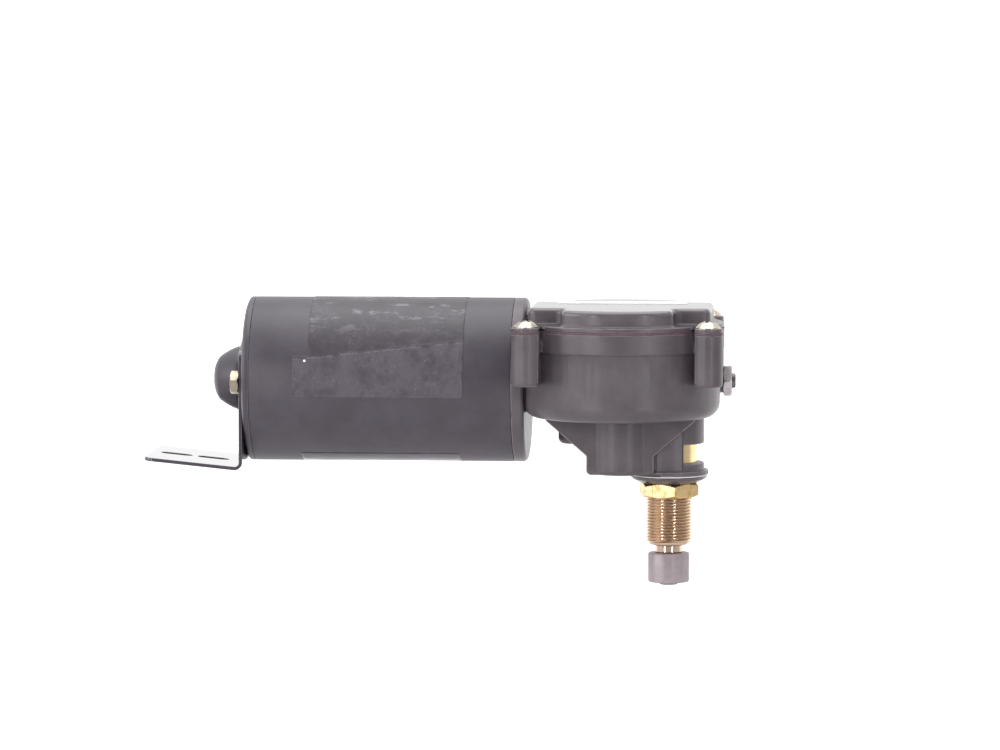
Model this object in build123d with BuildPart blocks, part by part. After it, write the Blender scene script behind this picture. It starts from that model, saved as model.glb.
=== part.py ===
"""Wiper motor with an oscillating output spindle.

A permanent-magnet motor in a steel can turns a worm. The worm drives a wheel, and a
crank pin, a link and a toothed sector turn the wheel's rotation into the swing of the
output spindle. Millimetres. The origin is on the spindle axis at the seat of the
spindle nut, +Z points up from the driver to the gear case, and +X runs from the motor
to the gear case."""

import os
from math import acos, atan2, cos, degrees, hypot, pi, radians, sin, sqrt, tan

from build123d import *

# ---------------------------------------------------------------- clearances
running_clearance = 0.04   # radial, shaft in bush
press_clearance = 0.01     # radial, pressed or screwed joint
hole_clearance = 0.3       # radial, bolt in a clearance hole
face_clearance = 0.05      # axial, between faces that turn on each other
open_link_gap = 0.3        # between the link and the sector's link pin

# ---------------------------------------------------------------- layout
wheel_x, wheel_y = -19.2, -6.0      # worm wheel axis, centre of the gear case
worm_offset = 18.5                  # worm axis behind the wheel axis
motor_y = wheel_y + worm_offset

# ---------------------------------------------------------------- spindle stack
nut_across_flats, nut_height, nut_turn = 22.2, 5.9, 43.7
nut_bore_r = 8.85                    # inside the nut's thread, where the bush is as small
free_thread_gap = 0.3               # from the nut to the bush's free thread
bush_thread_r, bush_thread_length, bush_thread_chamfer = 9.525, 26.2, 1.9
bush_neck_r, bush_neck_length = 5.7, 2.4
bush_body_r = 11.5
washer_thickness, washer_rim_r, washer_foot_r = 3.4, 15.8, 11.8
shaft_r, shaft_top_r = 4.0, 3.4
seal_groove_depth, seal_section, seal_drop = 1.2, 1.2, 21.0
driver_r, driver_length, driver_sides, driver_chamfer = 8.5, 12.1, 16, 0.8
shaft_nub = 1.1                     # shaft end below the driver

# ---------------------------------------------------------------- gear case
case_flange_thickness, case_flange_r = 2.0, 16.2
column_r = 14.4
bowl_bottom_z = 27.3
bowl_floor, bowl_wall, bowl_depth = 4.0, 3.5, 36.2
bowl_r, bowl_draft, bowl_bottom_fillet = 40.8, 0.8, 6.2
rim_lip, rim_band, rim_band_edge = 1.2, 8.5, 0.8   # the band stands out from the bowl
ear_inset, ear_r, ear_depth = 5.4, 6.0, 21.1       # screws inside the rim's square
ear_bottom_fillet = 1.5
ear_side, rear_ear_shift = 5.2, 2.1                   # screw to the ear's inner side; rear right ear inwards
boss_width, boss_front, boss_back, boss_bottom_z = 27.5, 10.0, 10.0, 4.0
boss_bulge_r, boss_corner = 13.7, 2.0
web_half_width, web_foot_z, web_thickness = 30.4, 11.9, 12.0
column_wall_x, column_wall_front = 6.4, 13.2
window_low_z, window_high_z = 8.4, 16.2
drain_boss_x, drain_boss_y, drain_boss_r, drain_boss_z = -40.2, 9.0, 5.6, 14.8
spigot_length, spigot_wall, spigot_clearance = 4.0, 3.6, 0.05
motor_flange_thickness, motor_flange_edge = 5.3, 2.0
neck_length, column_wall_depth = 8.0, 8.0          # each into the bowl's wall or the column
neck_half_width, neck_drop = 23.0, 2.0
front_bearing_r, front_bearing_length = 8.0, 9.0
end_bush_r, end_bush_length, end_boss_wall = 6.2, 8.0, 2.4
thrust_nose_r, thrust_nose_reach = 5.0, 0.2        # nose beyond the bowl's wall
thrust_screw_r = 3.0
grommet_x, grommet_z, grommet_r = -34.0, 54.5, 5.0

# ---------------------------------------------------------------- cover
gasket_thickness, gasket_width = 0.8, 3.2
cover_flange, cover_rise, cover_wall = 1.8, 6.7, 2.4
cover_arm_half_width, cover_arm_reach_x, cover_arm_reach_y = 22.5, 37.0, 40.0
cover_side_front, cover_side_back = 20.0, 22.0
cover_corner, cover_edge, cover_base_fillet = 3.4, 2.2, 1.4
flange_gap = 0.4                    # between the cover and the motor flange
screw_head_r, screw_head_height, screw_r, screw_length = 5.1, 2.9, 2.4, 16.0
label_length, label_width, label_thickness, label_back = 53.0, 11.0, 0.3, 3.5

# ---------------------------------------------------------------- motor
can_r, can_wall, can_length = 33.7, 3.0, 107.0
cap_shoulder, cap_lip, cap_wall = 3.2, 1.3, 1.8
cap_face_r = 30.6
dome_base_r, dome_straight, dome_cone, dome_cone_r, dome_length = 12.2, 4.1, 7.7, 8.3, 14.3
dome_tip_r = 3.6
bolt_gap, bolt_r = 0.72, 2.08           # gap: from the armature core to a through bolt
end_nut_across_flats, end_nut_height = 8.73, 3.4
bolt_overhang = 0.3
core_r, core_length, core_slots = 20.2, 48.0, 10
slot_r, slot_depth, slot_mouth = 2.9, 4.2, 1.6
winding_length, winding_r, winding_hub_r, winding_inset = 8.0, 18.4, 8.0, 0.2
commutator_r, commutator_length, commutator_gap = 10.0, 15.0, 3.0
magnet_r, magnet_angle, air_gap, magnet_glue = 30.6, 112.0, 1.0, 0.05
brush_plate_thickness, brush_plate_hole_r = 2.0, 13.0
holder_length, holder_width, holder_height, holder_wall, holder_gap = 11.0, 8.0, 12.0, 1.0, 1.6
brush_clearance, brush_lift, brush_height = 0.15, 0.25, 9.5
spring_thickness, spring_width = 0.5, 3.0
rear_bearing_r, rear_bearing_length = 6.9, 9.0
retainer_thickness, retainer_r = 0.8, 10.4
core_offset = 24.0                  # front end of the windings behind the brush plate

# ---------------------------------------------------------------- mounting bracket
bracket_thickness, bracket_half_width = 1.5, 27.0
bracket_top, bracket_top_r, bracket_corner = 18.1, 60.0, 5.0
bracket_hole_clearance = 0.5
bend_r = 3.3
foot_reach, foot_angle, foot_drop = 40.8, 5.8, 36.2
slot_length, slot_width, slot_pitch, first_slot = 13.2, 6.5, 15.3, 15.2
foot_corner = 4.0

# ---------------------------------------------------------------- worm and wheel
gear_module, wheel_teeth = 0.9, 30
worm_pitch_r = 5.0
wheel_thickness, wheel_boss_height, wheel_hub_r = 7.0, 5.4, 5.6
wheel_washer = 0.5
worm_length = 20.0
pressure_angle = 20.0
worm_backlash = 0.22                # taken off each tooth and thread, at the pitch line
wheel_pin_r, wheel_pin_depth = 3.0, 20.0
clip_thickness, clip_width = 0.8, 2.2
crank_r, crank_pin_r, crank_shoulder_r = 8.0, 2.4, 3.5
park_ring_outer_r, park_ring_inner_r, park_ring_thickness = 11.6, 8.2, 1.2
park_ring_notch = 6.0
park_plate_cut = 10.0                # cut back from the plate's +X side
contact_r, contact_width, contact_strip, contact_gap = 9.6, 2.0, 0.4, 0.3
contact_foot, contact_reach = 5.0, 3.0
park_plate_outer_r, park_plate_inner_r, park_plate_thickness = 13.4, 6.6, 1.6

# ---------------------------------------------------------------- link, sector, pinion
swing = 55.0                        # output swing each way
train_module, pinion_teeth, sector_teeth_full, sector_teeth = 1.0, 14, 35, 7
train_backlash = 0.12
sector_bearing_angle = -94.7        # sector pivot seen from the spindle axis
link_thickness, link_eye_r, link_rise = 2.5, 4.2, 3.0
sector_gap, sector_thickness, sector_hub_r, sector_eye_r = 1.5, 4.0, 5.6, 4.4
sector_pin_r, sector_post_r, sector_pin_depth = 2.5, 5.0, 14.0
link_pin_r, link_pin_head_r, link_pin_head = 2.4, 3.6, 0.8
pinion_thickness, pinion_clip = 5.0, 1.0

# ---------------------------------------------------------------- derived places
case_flange_z = washer_thickness + case_flange_thickness
floor_z = bowl_bottom_z + bowl_floor
rim_z = bowl_bottom_z + bowl_depth
wheel_low_z = floor_z + wheel_boss_height + wheel_washer + face_clearance
wheel_high_z = wheel_low_z + wheel_thickness
motor_z = (wheel_low_z + wheel_high_z) / 2
cover_z = rim_z + gasket_thickness
cover_flange_z = cover_z + cover_flange
cover_top_z = cover_flange_z + cover_rise
cavity_r = bowl_r - bowl_wall
rim_r = bowl_r + rim_lip
ear_pitch = 2 * (rim_r - ear_inset)  # screw to screw along X and Y
thrust_nose_x = wheel_x + bowl_r + thrust_nose_reach
bush_top_z = floor_z + 1.6
bush_low_z = -(bush_thread_length + bush_neck_length)
driver_top_z = bush_low_z - 0.2
driver_low_z = driver_top_z - driver_length
ears = [
    (wheel_x + sx * ear_pitch / 2 - (rear_ear_shift if sx > 0 and sy > 0 else 0), wheel_y + sy * ear_pitch / 2)
    for sx in (-1, 1)
    for sy in (-1, 1)
]
rear_left_ear = ears[1]

motor_flange_x = wheel_x - 39.1     # gear case side of the motor flange
can_front_x = motor_flange_x - motor_flange_thickness
can_back_x = can_front_x - can_length
spigot_x = can_front_x - spigot_length
cap_face_x = can_back_x - cap_shoulder
bracket_outer_x = cap_face_x - bracket_thickness
can_inner_r = can_r - can_wall
bolt_spacing = 2 * (core_r + bolt_gap + bolt_r)
dome_tip_x = cap_face_x - dome_length
brush_plate_x = spigot_x - brush_plate_thickness
core_front_x = brush_plate_x - core_offset - winding_length
core_back_x = core_front_x - core_length

# The crank and rocker swing the sector equally to both sides of its middle position.
pinion_r = train_module * pinion_teeth / 2
sector_r = train_module * sector_teeth_full / 2
sector_swing = swing * pinion_r / sector_r
sector_x = (pinion_r + sector_r) * cos(radians(sector_bearing_angle))
sector_y = (pinion_r + sector_r) * sin(radians(sector_bearing_angle))
rocker_r = crank_r / sin(radians(sector_swing))
ground = hypot(sector_x - wheel_x, sector_y - wheel_y)
link_length = sqrt(crank_r**2 + ground**2 - rocker_r**2)


def angle_at(near, other, opposite):
    """Angle in degrees between two triangle sides, from the third."""
    return degrees(acos((near**2 + other**2 - opposite**2) / (2 * near * other)))


rocker_middle = (
    angle_at(ground, rocker_r, link_length - crank_r)
    + angle_at(ground, rocker_r, link_length + crank_r)
) / 2
to_wheel = degrees(atan2(wheel_y - sector_y, wheel_x - sector_x))
rocker_angle = to_wheel + rocker_middle
link_end_x = sector_x + rocker_r * cos(radians(rocker_angle))
link_end_y = sector_y + rocker_r * sin(radians(rocker_angle))
to_link_end = degrees(atan2(link_end_y - wheel_y, link_end_x - wheel_x))
reach = hypot(link_end_x - wheel_x, link_end_y - wheel_y)
crank_angle = to_link_end + angle_at(reach, crank_r, link_length)
crank_x = wheel_x + crank_r * cos(radians(crank_angle))
crank_y = wheel_y + crank_r * sin(radians(crank_angle))

link_low_z = wheel_high_z + link_rise
link_high_z = link_low_z + link_thickness
sector_low_z = link_high_z + sector_gap
sector_high_z = sector_low_z + sector_thickness
pinion_low_z = sector_low_z - 0.5
pinion_high_z = pinion_low_z + pinion_thickness


# ---------------------------------------------------------------- planes and axes
def upright(x, y):
    """Vertical section plane through (x, y): its axes are radius and height."""
    return Plane(origin=(x, y, 0), x_dir=(1, 0, 0), z_dir=(0, -1, 0))


def vertical(x, y):
    return Axis((x, y, 0), (0, 0, 1))


def level(x, y, z):
    return Plane(origin=(x, y, z), x_dir=(1, 0, 0), z_dir=(0, 0, 1))


def across(x):
    """Plane across the motor axis at x: its axes are Y and Z, its normal is +X."""
    return Plane(origin=(x, motor_y, motor_z), x_dir=(0, 1, 0), z_dir=(1, 0, 0))


motor_section = Plane(origin=(0, motor_y, motor_z), x_dir=(1, 0, 0), z_dir=(0, -1, 0))
motor_axis = Axis((0, motor_y, motor_z), (1, 0, 0))


def outline(plane, *points):
    """Closed straight-sided face on a plane."""
    with BuildSketch(plane) as face:
        with BuildLine():
            Polyline(*points, close=True)
        make_face()
    return face.sketch


# The four screw ears about the wheel's axis, each running in to the bowl with a square inner side.
ear_pads = Sketch()
for ear_x, ear_y in ears:
    dx, dy = ear_x - wheel_x, ear_y - wheel_y
    outwards = 1 if dx > 0 else -1
    ear_pads += SlotCenterPoint((0.75 * dx, 0.75 * dy), (dx, dy), 2 * ear_r) & (
        Pos(dx + outwards * (rim_r - ear_side), dy) * Rectangle(2 * rim_r, 2 * rim_r)
    )


def rim_outline(z):
    """Rim of the case and cover: a circle with four screw ears, flat at the motor flange."""
    with BuildSketch(level(wheel_x, wheel_y, z)) as face:
        Circle(rim_r)
        add(ear_pads)
        flat = wheel_x - motor_flange_x - flange_gap
        with Locations((-flat - rim_r, rim_r - ear_pitch / 2 + 2 * ear_r)):
            Rectangle(2 * rim_r, 2 * rim_r, mode=Mode.SUBTRACT)
        with Locations((rear_left_ear[0] - wheel_x, rear_left_ear[1] - wheel_y)):
            Circle(ear_r)
    return face.sketch


# ---------------------------------------------------------------- gear teeth
def involute(base, r):
    """Polar angle in radians that an involute has run through at radius r."""
    return sqrt((r / base) ** 2 - 1) - acos(base / r) if r > base else 0.0


def tooth(teeth, module, backlash, turn=0.0, z=0.0):
    """One gear tooth as a face about the origin, centred on the +X direction."""
    pitch = module * teeth / 2
    base = pitch * cos(radians(pressure_angle))
    root, tip = pitch - 1.25 * module, pitch + 0.95 * module
    half = pi / (2 * teeth) - backlash / pitch + involute(base, pitch)
    inside = root - 0.4 * module
    radii = [max(base, root), pitch, tip]
    flank = [(r, half - involute(base, r)) for r in radii]

    def place(r, a):
        return (r * cos(a + radians(turn)), r * sin(a + radians(turn)))

    with BuildSketch(level(0, 0, z)) as face:
        with BuildLine():
            low = [place(r, -a) for r, a in flank]
            high = [place(r, a) for r, a in flank]
            first = place(inside, -flank[0][1])
            last = place(inside, flank[0][1])
            Line(first, low[0])
            ThreePointArc(*low)
            Line(low[-1], high[-1])
            ThreePointArc(*reversed(high))
            Line(high[0], last)
            Line(last, first)
        make_face()
    return face.sketch


# ================================================================ gear case
screw_hole_z = rim_z - screw_length + 2.0
end_boss_x = thrust_nose_x - 6.0 - end_bush_length

with BuildPart() as gear_case:
    # Bowl with its wider rim band and the four screw ears.
    revolve(
        outline(
            upright(wheel_x, wheel_y),
            (0, bowl_bottom_z),
            (bowl_r - bowl_draft, bowl_bottom_z),
            (bowl_r, rim_z - rim_band),
            (bowl_r, rim_z),
            (0, rim_z),
        ),
        axis=vertical(wheel_x, wheel_y),
    )
    fillet(
        gear_case.edges().filter_by(GeomType.CIRCLE).sort_by(Axis.Z)[0],
        bowl_bottom_fillet,
    )
    with BuildSketch(level(wheel_x, wheel_y, rim_z - ear_depth)):
        add(ear_pads)
    extrude(amount=ear_depth)
    ear_edges = gear_case.edges().filter_by(GeomType.CIRCLE).filter_by_position(
        Axis.Z, rim_z - ear_depth - 0.01, rim_z - ear_depth + 0.01
    )
    fillet([e for e in ear_edges if abs(e.radius - ear_r) < 0.01], ear_bottom_fillet)
    with BuildPart(mode=Mode.PRIVATE) as band:
        with BuildSketch(level(wheel_x, wheel_y, rim_z - rim_band)):
            Circle(rim_r)
        extrude(amount=rim_band)
        fillet(band.edges().sort_by(Axis.Z)[0], rim_band_edge)
    add(band.part)

    # Motor flange and the neck that joins it to the bowl.
    with BuildPart(mode=Mode.PRIVATE) as motor_flange:
        with BuildSketch(across(can_front_x)):
            Circle(can_r)
        extrude(amount=motor_flange_thickness)
        fillet(
            motor_flange.edges().filter_by(GeomType.CIRCLE).sort_by(Axis.X)[-1],
            motor_flange_edge,
        )
    add(motor_flange.part)
    with BuildSketch(across(can_front_x)):
        with Locations((0, (bowl_bottom_z + neck_drop + rim_z) / 2 - motor_z)):
            Rectangle(2 * neck_half_width, rim_z - bowl_bottom_z - neck_drop)
    extrude(amount=motor_flange_thickness + bowl_wall + neck_length)
    with BuildSketch(across(can_front_x)):
        Circle(can_inner_r - spigot_clearance)
    extrude(amount=-spigot_length)

    # Wheel boss under the bowl, its tapered web, and the spindle column.
    with BuildSketch(level(wheel_x, wheel_y, boss_bottom_z)):
        with Locations((0, (boss_back - boss_front) / 2)):
            Rectangle(boss_width, boss_front + boss_back)
        Circle(boss_bulge_r)
    extrude(amount=bowl_bottom_z + bowl_floor / 2 - boss_bottom_z)
    with BuildSketch(Plane.XZ.offset(-wheel_y + boss_front)):
        with BuildLine():
            Polyline(
                (wheel_x - web_half_width, bowl_bottom_z + 1.5),
                (wheel_x - web_half_width, bowl_bottom_z - 1.0),
                (wheel_x - boss_width / 2, web_foot_z),
                (wheel_x + boss_width / 2, web_foot_z),
                (wheel_x + web_half_width, bowl_bottom_z - 1.0),
                (wheel_x + web_half_width, bowl_bottom_z + 1.5),
                close=True,
            )
        make_face()
    extrude(amount=-web_thickness)
    with BuildSketch(level(drain_boss_x, drain_boss_y, drain_boss_z)):
        Circle(drain_boss_r)
    extrude(amount=bowl_bottom_z + bowl_floor / 2 - drain_boss_z)
    fillet(
        gear_case.faces().filter_by(Axis.Z).sort_by(
            lambda f: abs(f.center().X - drain_boss_x) + abs(f.center().Z - drain_boss_z)
        )[0].edges(),
        2.5,
    )
    fillet(
        gear_case.faces().filter_by(Axis.Z).sort_by(Axis.Z)[0].edges(), boss_corner
    )
    with BuildSketch(level(0, 0, washer_thickness)):
        Circle(column_r)
    extrude(amount=floor_z - washer_thickness)
    with BuildSketch(level(0, 0, case_flange_z - 0.5)):
        with Locations(((column_wall_x - column_wall_depth) / 2, -column_wall_front / 2)):
            Rectangle(column_wall_x + column_wall_depth, column_wall_front)
    extrude(amount=bowl_bottom_z + bowl_floor / 2 - case_flange_z)
    with BuildSketch(level(0, 0, washer_thickness)):
        Circle(case_flange_r)
    extrude(amount=case_flange_thickness)

    # Inside of the bowl.
    revolve(
        outline(
            upright(wheel_x, wheel_y),
            (0, floor_z),
            (cavity_r - bowl_draft - 3, floor_z),
            (cavity_r - bowl_draft, floor_z + 3),
            (cavity_r, rim_z + 1),
            (0, rim_z + 1),
        ),
        axis=vertical(wheel_x, wheel_y),
        mode=Mode.SUBTRACT,
    )
    with BuildSketch(level(wheel_x, wheel_y, floor_z - 1)):
        Circle(wheel_hub_r)
    extrude(amount=wheel_boss_height + 1)
    with BuildSketch(level(sector_x, sector_y, floor_z - 1)):
        Circle(sector_post_r)
    extrude(amount=sector_low_z - face_clearance - floor_z + 1)
    with BuildSketch(level(0, 0, floor_z - 1)):
        Circle(column_r)
    extrude(amount=bush_top_z - floor_z + 0.4)
    # Bearing boss at the free end of the worm, and the nose for the thrust screw.
    with BuildSketch(across(end_boss_x)):
        Circle(end_bush_r + end_boss_wall)
    extrude(amount=wheel_x + bowl_r - 4 - end_boss_x)
    with BuildSketch(across(wheel_x + cavity_r - 6)):
        Circle(thrust_nose_r)
    extrude(amount=thrust_nose_x - (wheel_x + cavity_r - 6))

    # Bores.
    with BuildSketch(level(0, 0, 0)):
        Circle(bush_body_r + press_clearance)
    extrude(amount=rim_z, mode=Mode.SUBTRACT)
    with BuildSketch(Plane.YZ.offset(column_wall_x)):
        with Locations((0, (window_low_z + window_high_z) / 2)):
            Rectangle(4 * column_r, window_high_z - window_low_z)
    extrude(amount=2 * column_r, mode=Mode.SUBTRACT)
    with BuildSketch(across(spigot_x)):
        Circle(can_inner_r - spigot_clearance - spigot_wall)
        with Locations(*[(side * bolt_spacing / 2, 0) for side in (-1, 1)]):
            Circle(bolt_r + 3.0, mode=Mode.SUBTRACT)
    extrude(amount=spigot_length, mode=Mode.SUBTRACT)
    with BuildSketch(across(can_front_x)):
        Circle(front_bearing_r + press_clearance)
    extrude(amount=front_bearing_length, mode=Mode.SUBTRACT)
    with BuildSketch(across(can_front_x)):
        Circle(front_bearing_r - 1.5)
    extrude(amount=wheel_x - can_front_x, mode=Mode.SUBTRACT)
    with BuildSketch(across(spigot_x)):
        with Locations(*[(side * bolt_spacing / 2, 0) for side in (-1, 1)]):
            Circle(bolt_r + press_clearance)
    extrude(amount=spigot_length + 6.0, mode=Mode.SUBTRACT)
    with BuildSketch(across(end_boss_x)):
        Circle(end_bush_r + press_clearance)
    extrude(amount=end_bush_length, mode=Mode.SUBTRACT)
    with BuildSketch(across(end_boss_x)):
        Circle(thrust_screw_r + press_clearance)
    extrude(amount=2 * bowl_r, mode=Mode.SUBTRACT)
    with BuildSketch(level(0, 0, screw_hole_z)):
        with Locations(*ears):
            Circle(screw_r + press_clearance)
    extrude(amount=screw_length, mode=Mode.SUBTRACT)
    with BuildSketch(level(wheel_x, wheel_y, floor_z + wheel_boss_height - wheel_pin_depth)):
        Circle(wheel_pin_r + press_clearance)
    extrude(amount=wheel_pin_depth, mode=Mode.SUBTRACT)
    with BuildSketch(level(sector_x, sector_y, sector_low_z - sector_pin_depth)):
        Circle(sector_pin_r + press_clearance)
    extrude(amount=sector_pin_depth, mode=Mode.SUBTRACT)
    with BuildSketch(Plane.XZ.offset(-wheel_y - rim_r - 2)):
        with Locations((grommet_x, grommet_z)):
            Circle(grommet_r - 1.2)
    extrude(amount=rim_r / 2, mode=Mode.SUBTRACT)
    # Room for the rear screw head in the motor flange.
    with BuildSketch(level(*rear_left_ear, rim_z)):
        Circle(ear_r + flange_gap)
    extrude(amount=30, mode=Mode.SUBTRACT)
gear_case.part.label = "gear_case"

# ================================================================ cover and gasket
with BuildPart() as cover_gasket:
    extrude(rim_outline(rim_z), amount=gasket_thickness)
    with BuildSketch(level(wheel_x, wheel_y, rim_z)):
        Circle(rim_r - gasket_width)
    extrude(amount=gasket_thickness, mode=Mode.SUBTRACT)
    with BuildSketch(level(0, 0, rim_z)):
        with Locations(*ears):
            Circle(screw_r + hole_clearance)
    extrude(amount=gasket_thickness, mode=Mode.SUBTRACT)
cover_gasket.part.label = "cover_gasket"


def cover_cross(z, inset):
    """The raised cross of the cover, drawn in by an inset all round."""
    side_middle = (cover_side_back - cover_side_front) / 2
    with BuildSketch(level(wheel_x, wheel_y, z)) as face:
        Rectangle(2 * (cover_arm_half_width - inset), 2 * (cover_arm_reach_y - inset))
        Circle(cover_arm_reach_y - inset, mode=Mode.INTERSECT)
        with Locations((0, side_middle)):
            Rectangle(
                2 * (cover_arm_reach_x - inset),
                cover_side_front + cover_side_back - 2 * inset,
            )
        fillet(face.vertices(), cover_corner)
    return face.sketch


with BuildPart() as gear_case_cover:
    extrude(rim_outline(cover_z), amount=cover_flange)
    cross = cover_cross(cover_flange_z, 0)
    extrude(cross, amount=cover_rise)
    fillet(gear_case_cover.faces().sort_by(Axis.Z)[-1].edges(), cover_edge)
    feet = [edge.center() for edge in cross.edges()]
    fillet(
        [
            edge
            for edge in gear_case_cover.edges()
            if any((edge.center() - foot).length < 0.01 for foot in feet)
        ],
        cover_base_fillet,
    )
    extrude(
        cover_cross(cover_z, cover_wall),
        amount=cover_top_z - cover_z - cover_wall,
        mode=Mode.SUBTRACT,
    )
    with BuildSketch(level(0, 0, cover_z)):
        with Locations(*ears):
            Circle(screw_r + hole_clearance)
    extrude(amount=cover_flange, mode=Mode.SUBTRACT)
gear_case_cover.part.label = "gear_case_cover"

with BuildPart() as cover_screws:
    with BuildSketch(level(0, 0, cover_flange_z - screw_length)):
        with Locations(*ears):
            Circle(screw_r)
    extrude(amount=screw_length)
    with BuildSketch(level(0, 0, cover_flange_z)):
        with Locations(*ears):
            Circle(screw_head_r)
    extrude(amount=screw_head_height)
    fillet(
        cover_screws.edges().filter_by(GeomType.CIRCLE).group_by(Axis.Z)[-1],
        screw_head_height * 0.55,
    )
cover_screws.part.label = "cover_screws"

with BuildPart() as cover_label:
    with BuildSketch(level(wheel_x, wheel_y, cover_top_z)):
        with Locations((0, cover_side_back - label_back - label_width / 2)):
            RectangleRounded(label_length, label_width, 1.0)
    extrude(amount=label_thickness)
cover_label.part.label = "cover_label"

# ================================================================ spindle
with BuildPart() as spindle_bush:
    revolve(
        outline(
            Plane.XZ,
            (shaft_r + running_clearance, bush_low_z),
            (bush_neck_r, bush_low_z),
            (bush_neck_r, -bush_thread_length),
            (bush_thread_r - bush_thread_chamfer, -bush_thread_length),
            (bush_thread_r, bush_thread_chamfer - bush_thread_length),
            (bush_thread_r, -nut_height - free_thread_gap),
            (nut_bore_r, -nut_height - free_thread_gap),
            (nut_bore_r, washer_thickness),
            (bush_body_r, washer_thickness),
            (bush_body_r, bush_top_z),
            (shaft_r + running_clearance, bush_top_z),
        ),
        axis=Axis.Z,
    )
spindle_bush.part.label = "spindle_bush"

with BuildPart() as spindle_nut:
    with BuildSketch(level(0, 0, -nut_height)):
        RegularPolygon(nut_across_flats / 2, 6, major_radius=False, rotation=nut_turn)
    extrude(amount=nut_height)
    nut_corner_r = nut_across_flats / sqrt(3)
    nut_bevel = (nut_corner_r - nut_across_flats / 2) * tan(radians(30))
    revolve(
        outline(
            Plane.XZ,
            (0, 0),
            (nut_across_flats / 2, 0),
            (nut_corner_r, -nut_bevel),
            (nut_corner_r, nut_bevel - nut_height),
            (nut_across_flats / 2, -nut_height),
            (0, -nut_height),
        ),
        axis=Axis.Z,
        mode=Mode.INTERSECT,
    )
    with BuildSketch(level(0, 0, -nut_height)):
        Circle(nut_bore_r + press_clearance)
    extrude(amount=nut_height, mode=Mode.SUBTRACT)
spindle_nut.part.label = "spindle_nut"

with BuildPart() as spindle_washer:
    revolve(
        outline(
            Plane.XZ,
            (nut_bore_r + press_clearance, 0),
            (washer_foot_r, 0),
            (washer_rim_r - 0.9, washer_thickness * 0.45),
            (washer_rim_r, washer_thickness * 0.75),
            (washer_rim_r, washer_thickness),
            (nut_bore_r + press_clearance, washer_thickness),
        ),
        axis=Axis.Z,
    )
spindle_washer.part.label = "spindle_washer"

shaft_low_z = driver_low_z - shaft_nub
shaft_high_z = pinion_high_z + pinion_clip + 0.8
seal_z = -seal_drop
with BuildPart() as output_shaft:
    revolve(
        outline(
            Plane.XZ,
            (0, shaft_low_z),
            (shaft_r - 0.5, shaft_low_z),
            (shaft_r, shaft_low_z + 0.5),
            (shaft_r, seal_z - seal_section),
            (shaft_r - seal_groove_depth, seal_z - seal_section),
            (shaft_r - seal_groove_depth, seal_z),
            (shaft_r, seal_z),
            (shaft_r, pinion_low_z),
            (shaft_top_r, pinion_low_z),
            (shaft_top_r, shaft_high_z - 0.5),
            (shaft_top_r - 0.5, shaft_high_z),
            (0, shaft_high_z),
        ),
        axis=Axis.Z,
    )
output_shaft.part.label = "output_shaft"

with BuildPart() as shaft_seal:
    seal_r = (seal_section - 0.1) / 2
    with BuildSketch(Plane.XZ):
        with Locations((shaft_r - seal_groove_depth + seal_r, seal_z - seal_section / 2)):
            Circle(seal_r)
    revolve(axis=Axis.Z)
shaft_seal.part.label = "shaft_seal"

with BuildPart() as driver:
    with BuildSketch(level(0, 0, driver_low_z)):
        RegularPolygon(driver_r, driver_sides)
    extrude(amount=driver_length)
    revolve(
        outline(
            Plane.XZ,
            (0, driver_low_z),
            (driver_r - driver_chamfer, driver_low_z),
            (driver_r, driver_low_z + driver_chamfer),
            (driver_r, driver_top_z - driver_chamfer / 2),
            (driver_r - driver_chamfer / 2, driver_top_z),
            (0, driver_top_z),
        ),
        axis=Axis.Z,
        mode=Mode.INTERSECT,
    )
    with BuildSketch(level(0, 0, driver_low_z)):
        Circle(shaft_r + press_clearance)
    extrude(amount=driver_length, mode=Mode.SUBTRACT)
driver.part.label = "driver"

with BuildPart() as shaft_clip:
    with BuildSketch(level(0, 0, bush_top_z + face_clearance)):
        Circle(shaft_r + clip_width)
        Circle(shaft_r + press_clearance, mode=Mode.SUBTRACT)
        with Locations((shaft_r + clip_width, 0)):
            Rectangle(2 * clip_width + 2, clip_width, mode=Mode.SUBTRACT)
    extrude(amount=clip_thickness)
shaft_clip.part.label = "shaft_clip"

# ================================================================ output train
with BuildPart() as output_pinion:
    with BuildSketch(level(0, 0, pinion_low_z)):
        Circle(pinion_r - 1.25 * train_module)
        add(
            [
                tooth(
                    pinion_teeth,
                    train_module,
                    train_backlash,
                    sector_bearing_angle + 360 / pinion_teeth * (i + 0.5),
                )
                for i in range(pinion_teeth)
            ]
        )
        Circle(shaft_top_r + press_clearance, mode=Mode.SUBTRACT)
    extrude(amount=pinion_thickness)
output_pinion.part.label = "output_pinion"

with BuildPart() as pinion_washer:
    with BuildSketch(level(0, 0, pinion_high_z)):
        Circle(shaft_top_r + clip_width)
        Circle(shaft_top_r + press_clearance, mode=Mode.SUBTRACT)
    extrude(amount=pinion_clip)
pinion_washer.part.label = "pinion_washer"

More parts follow.
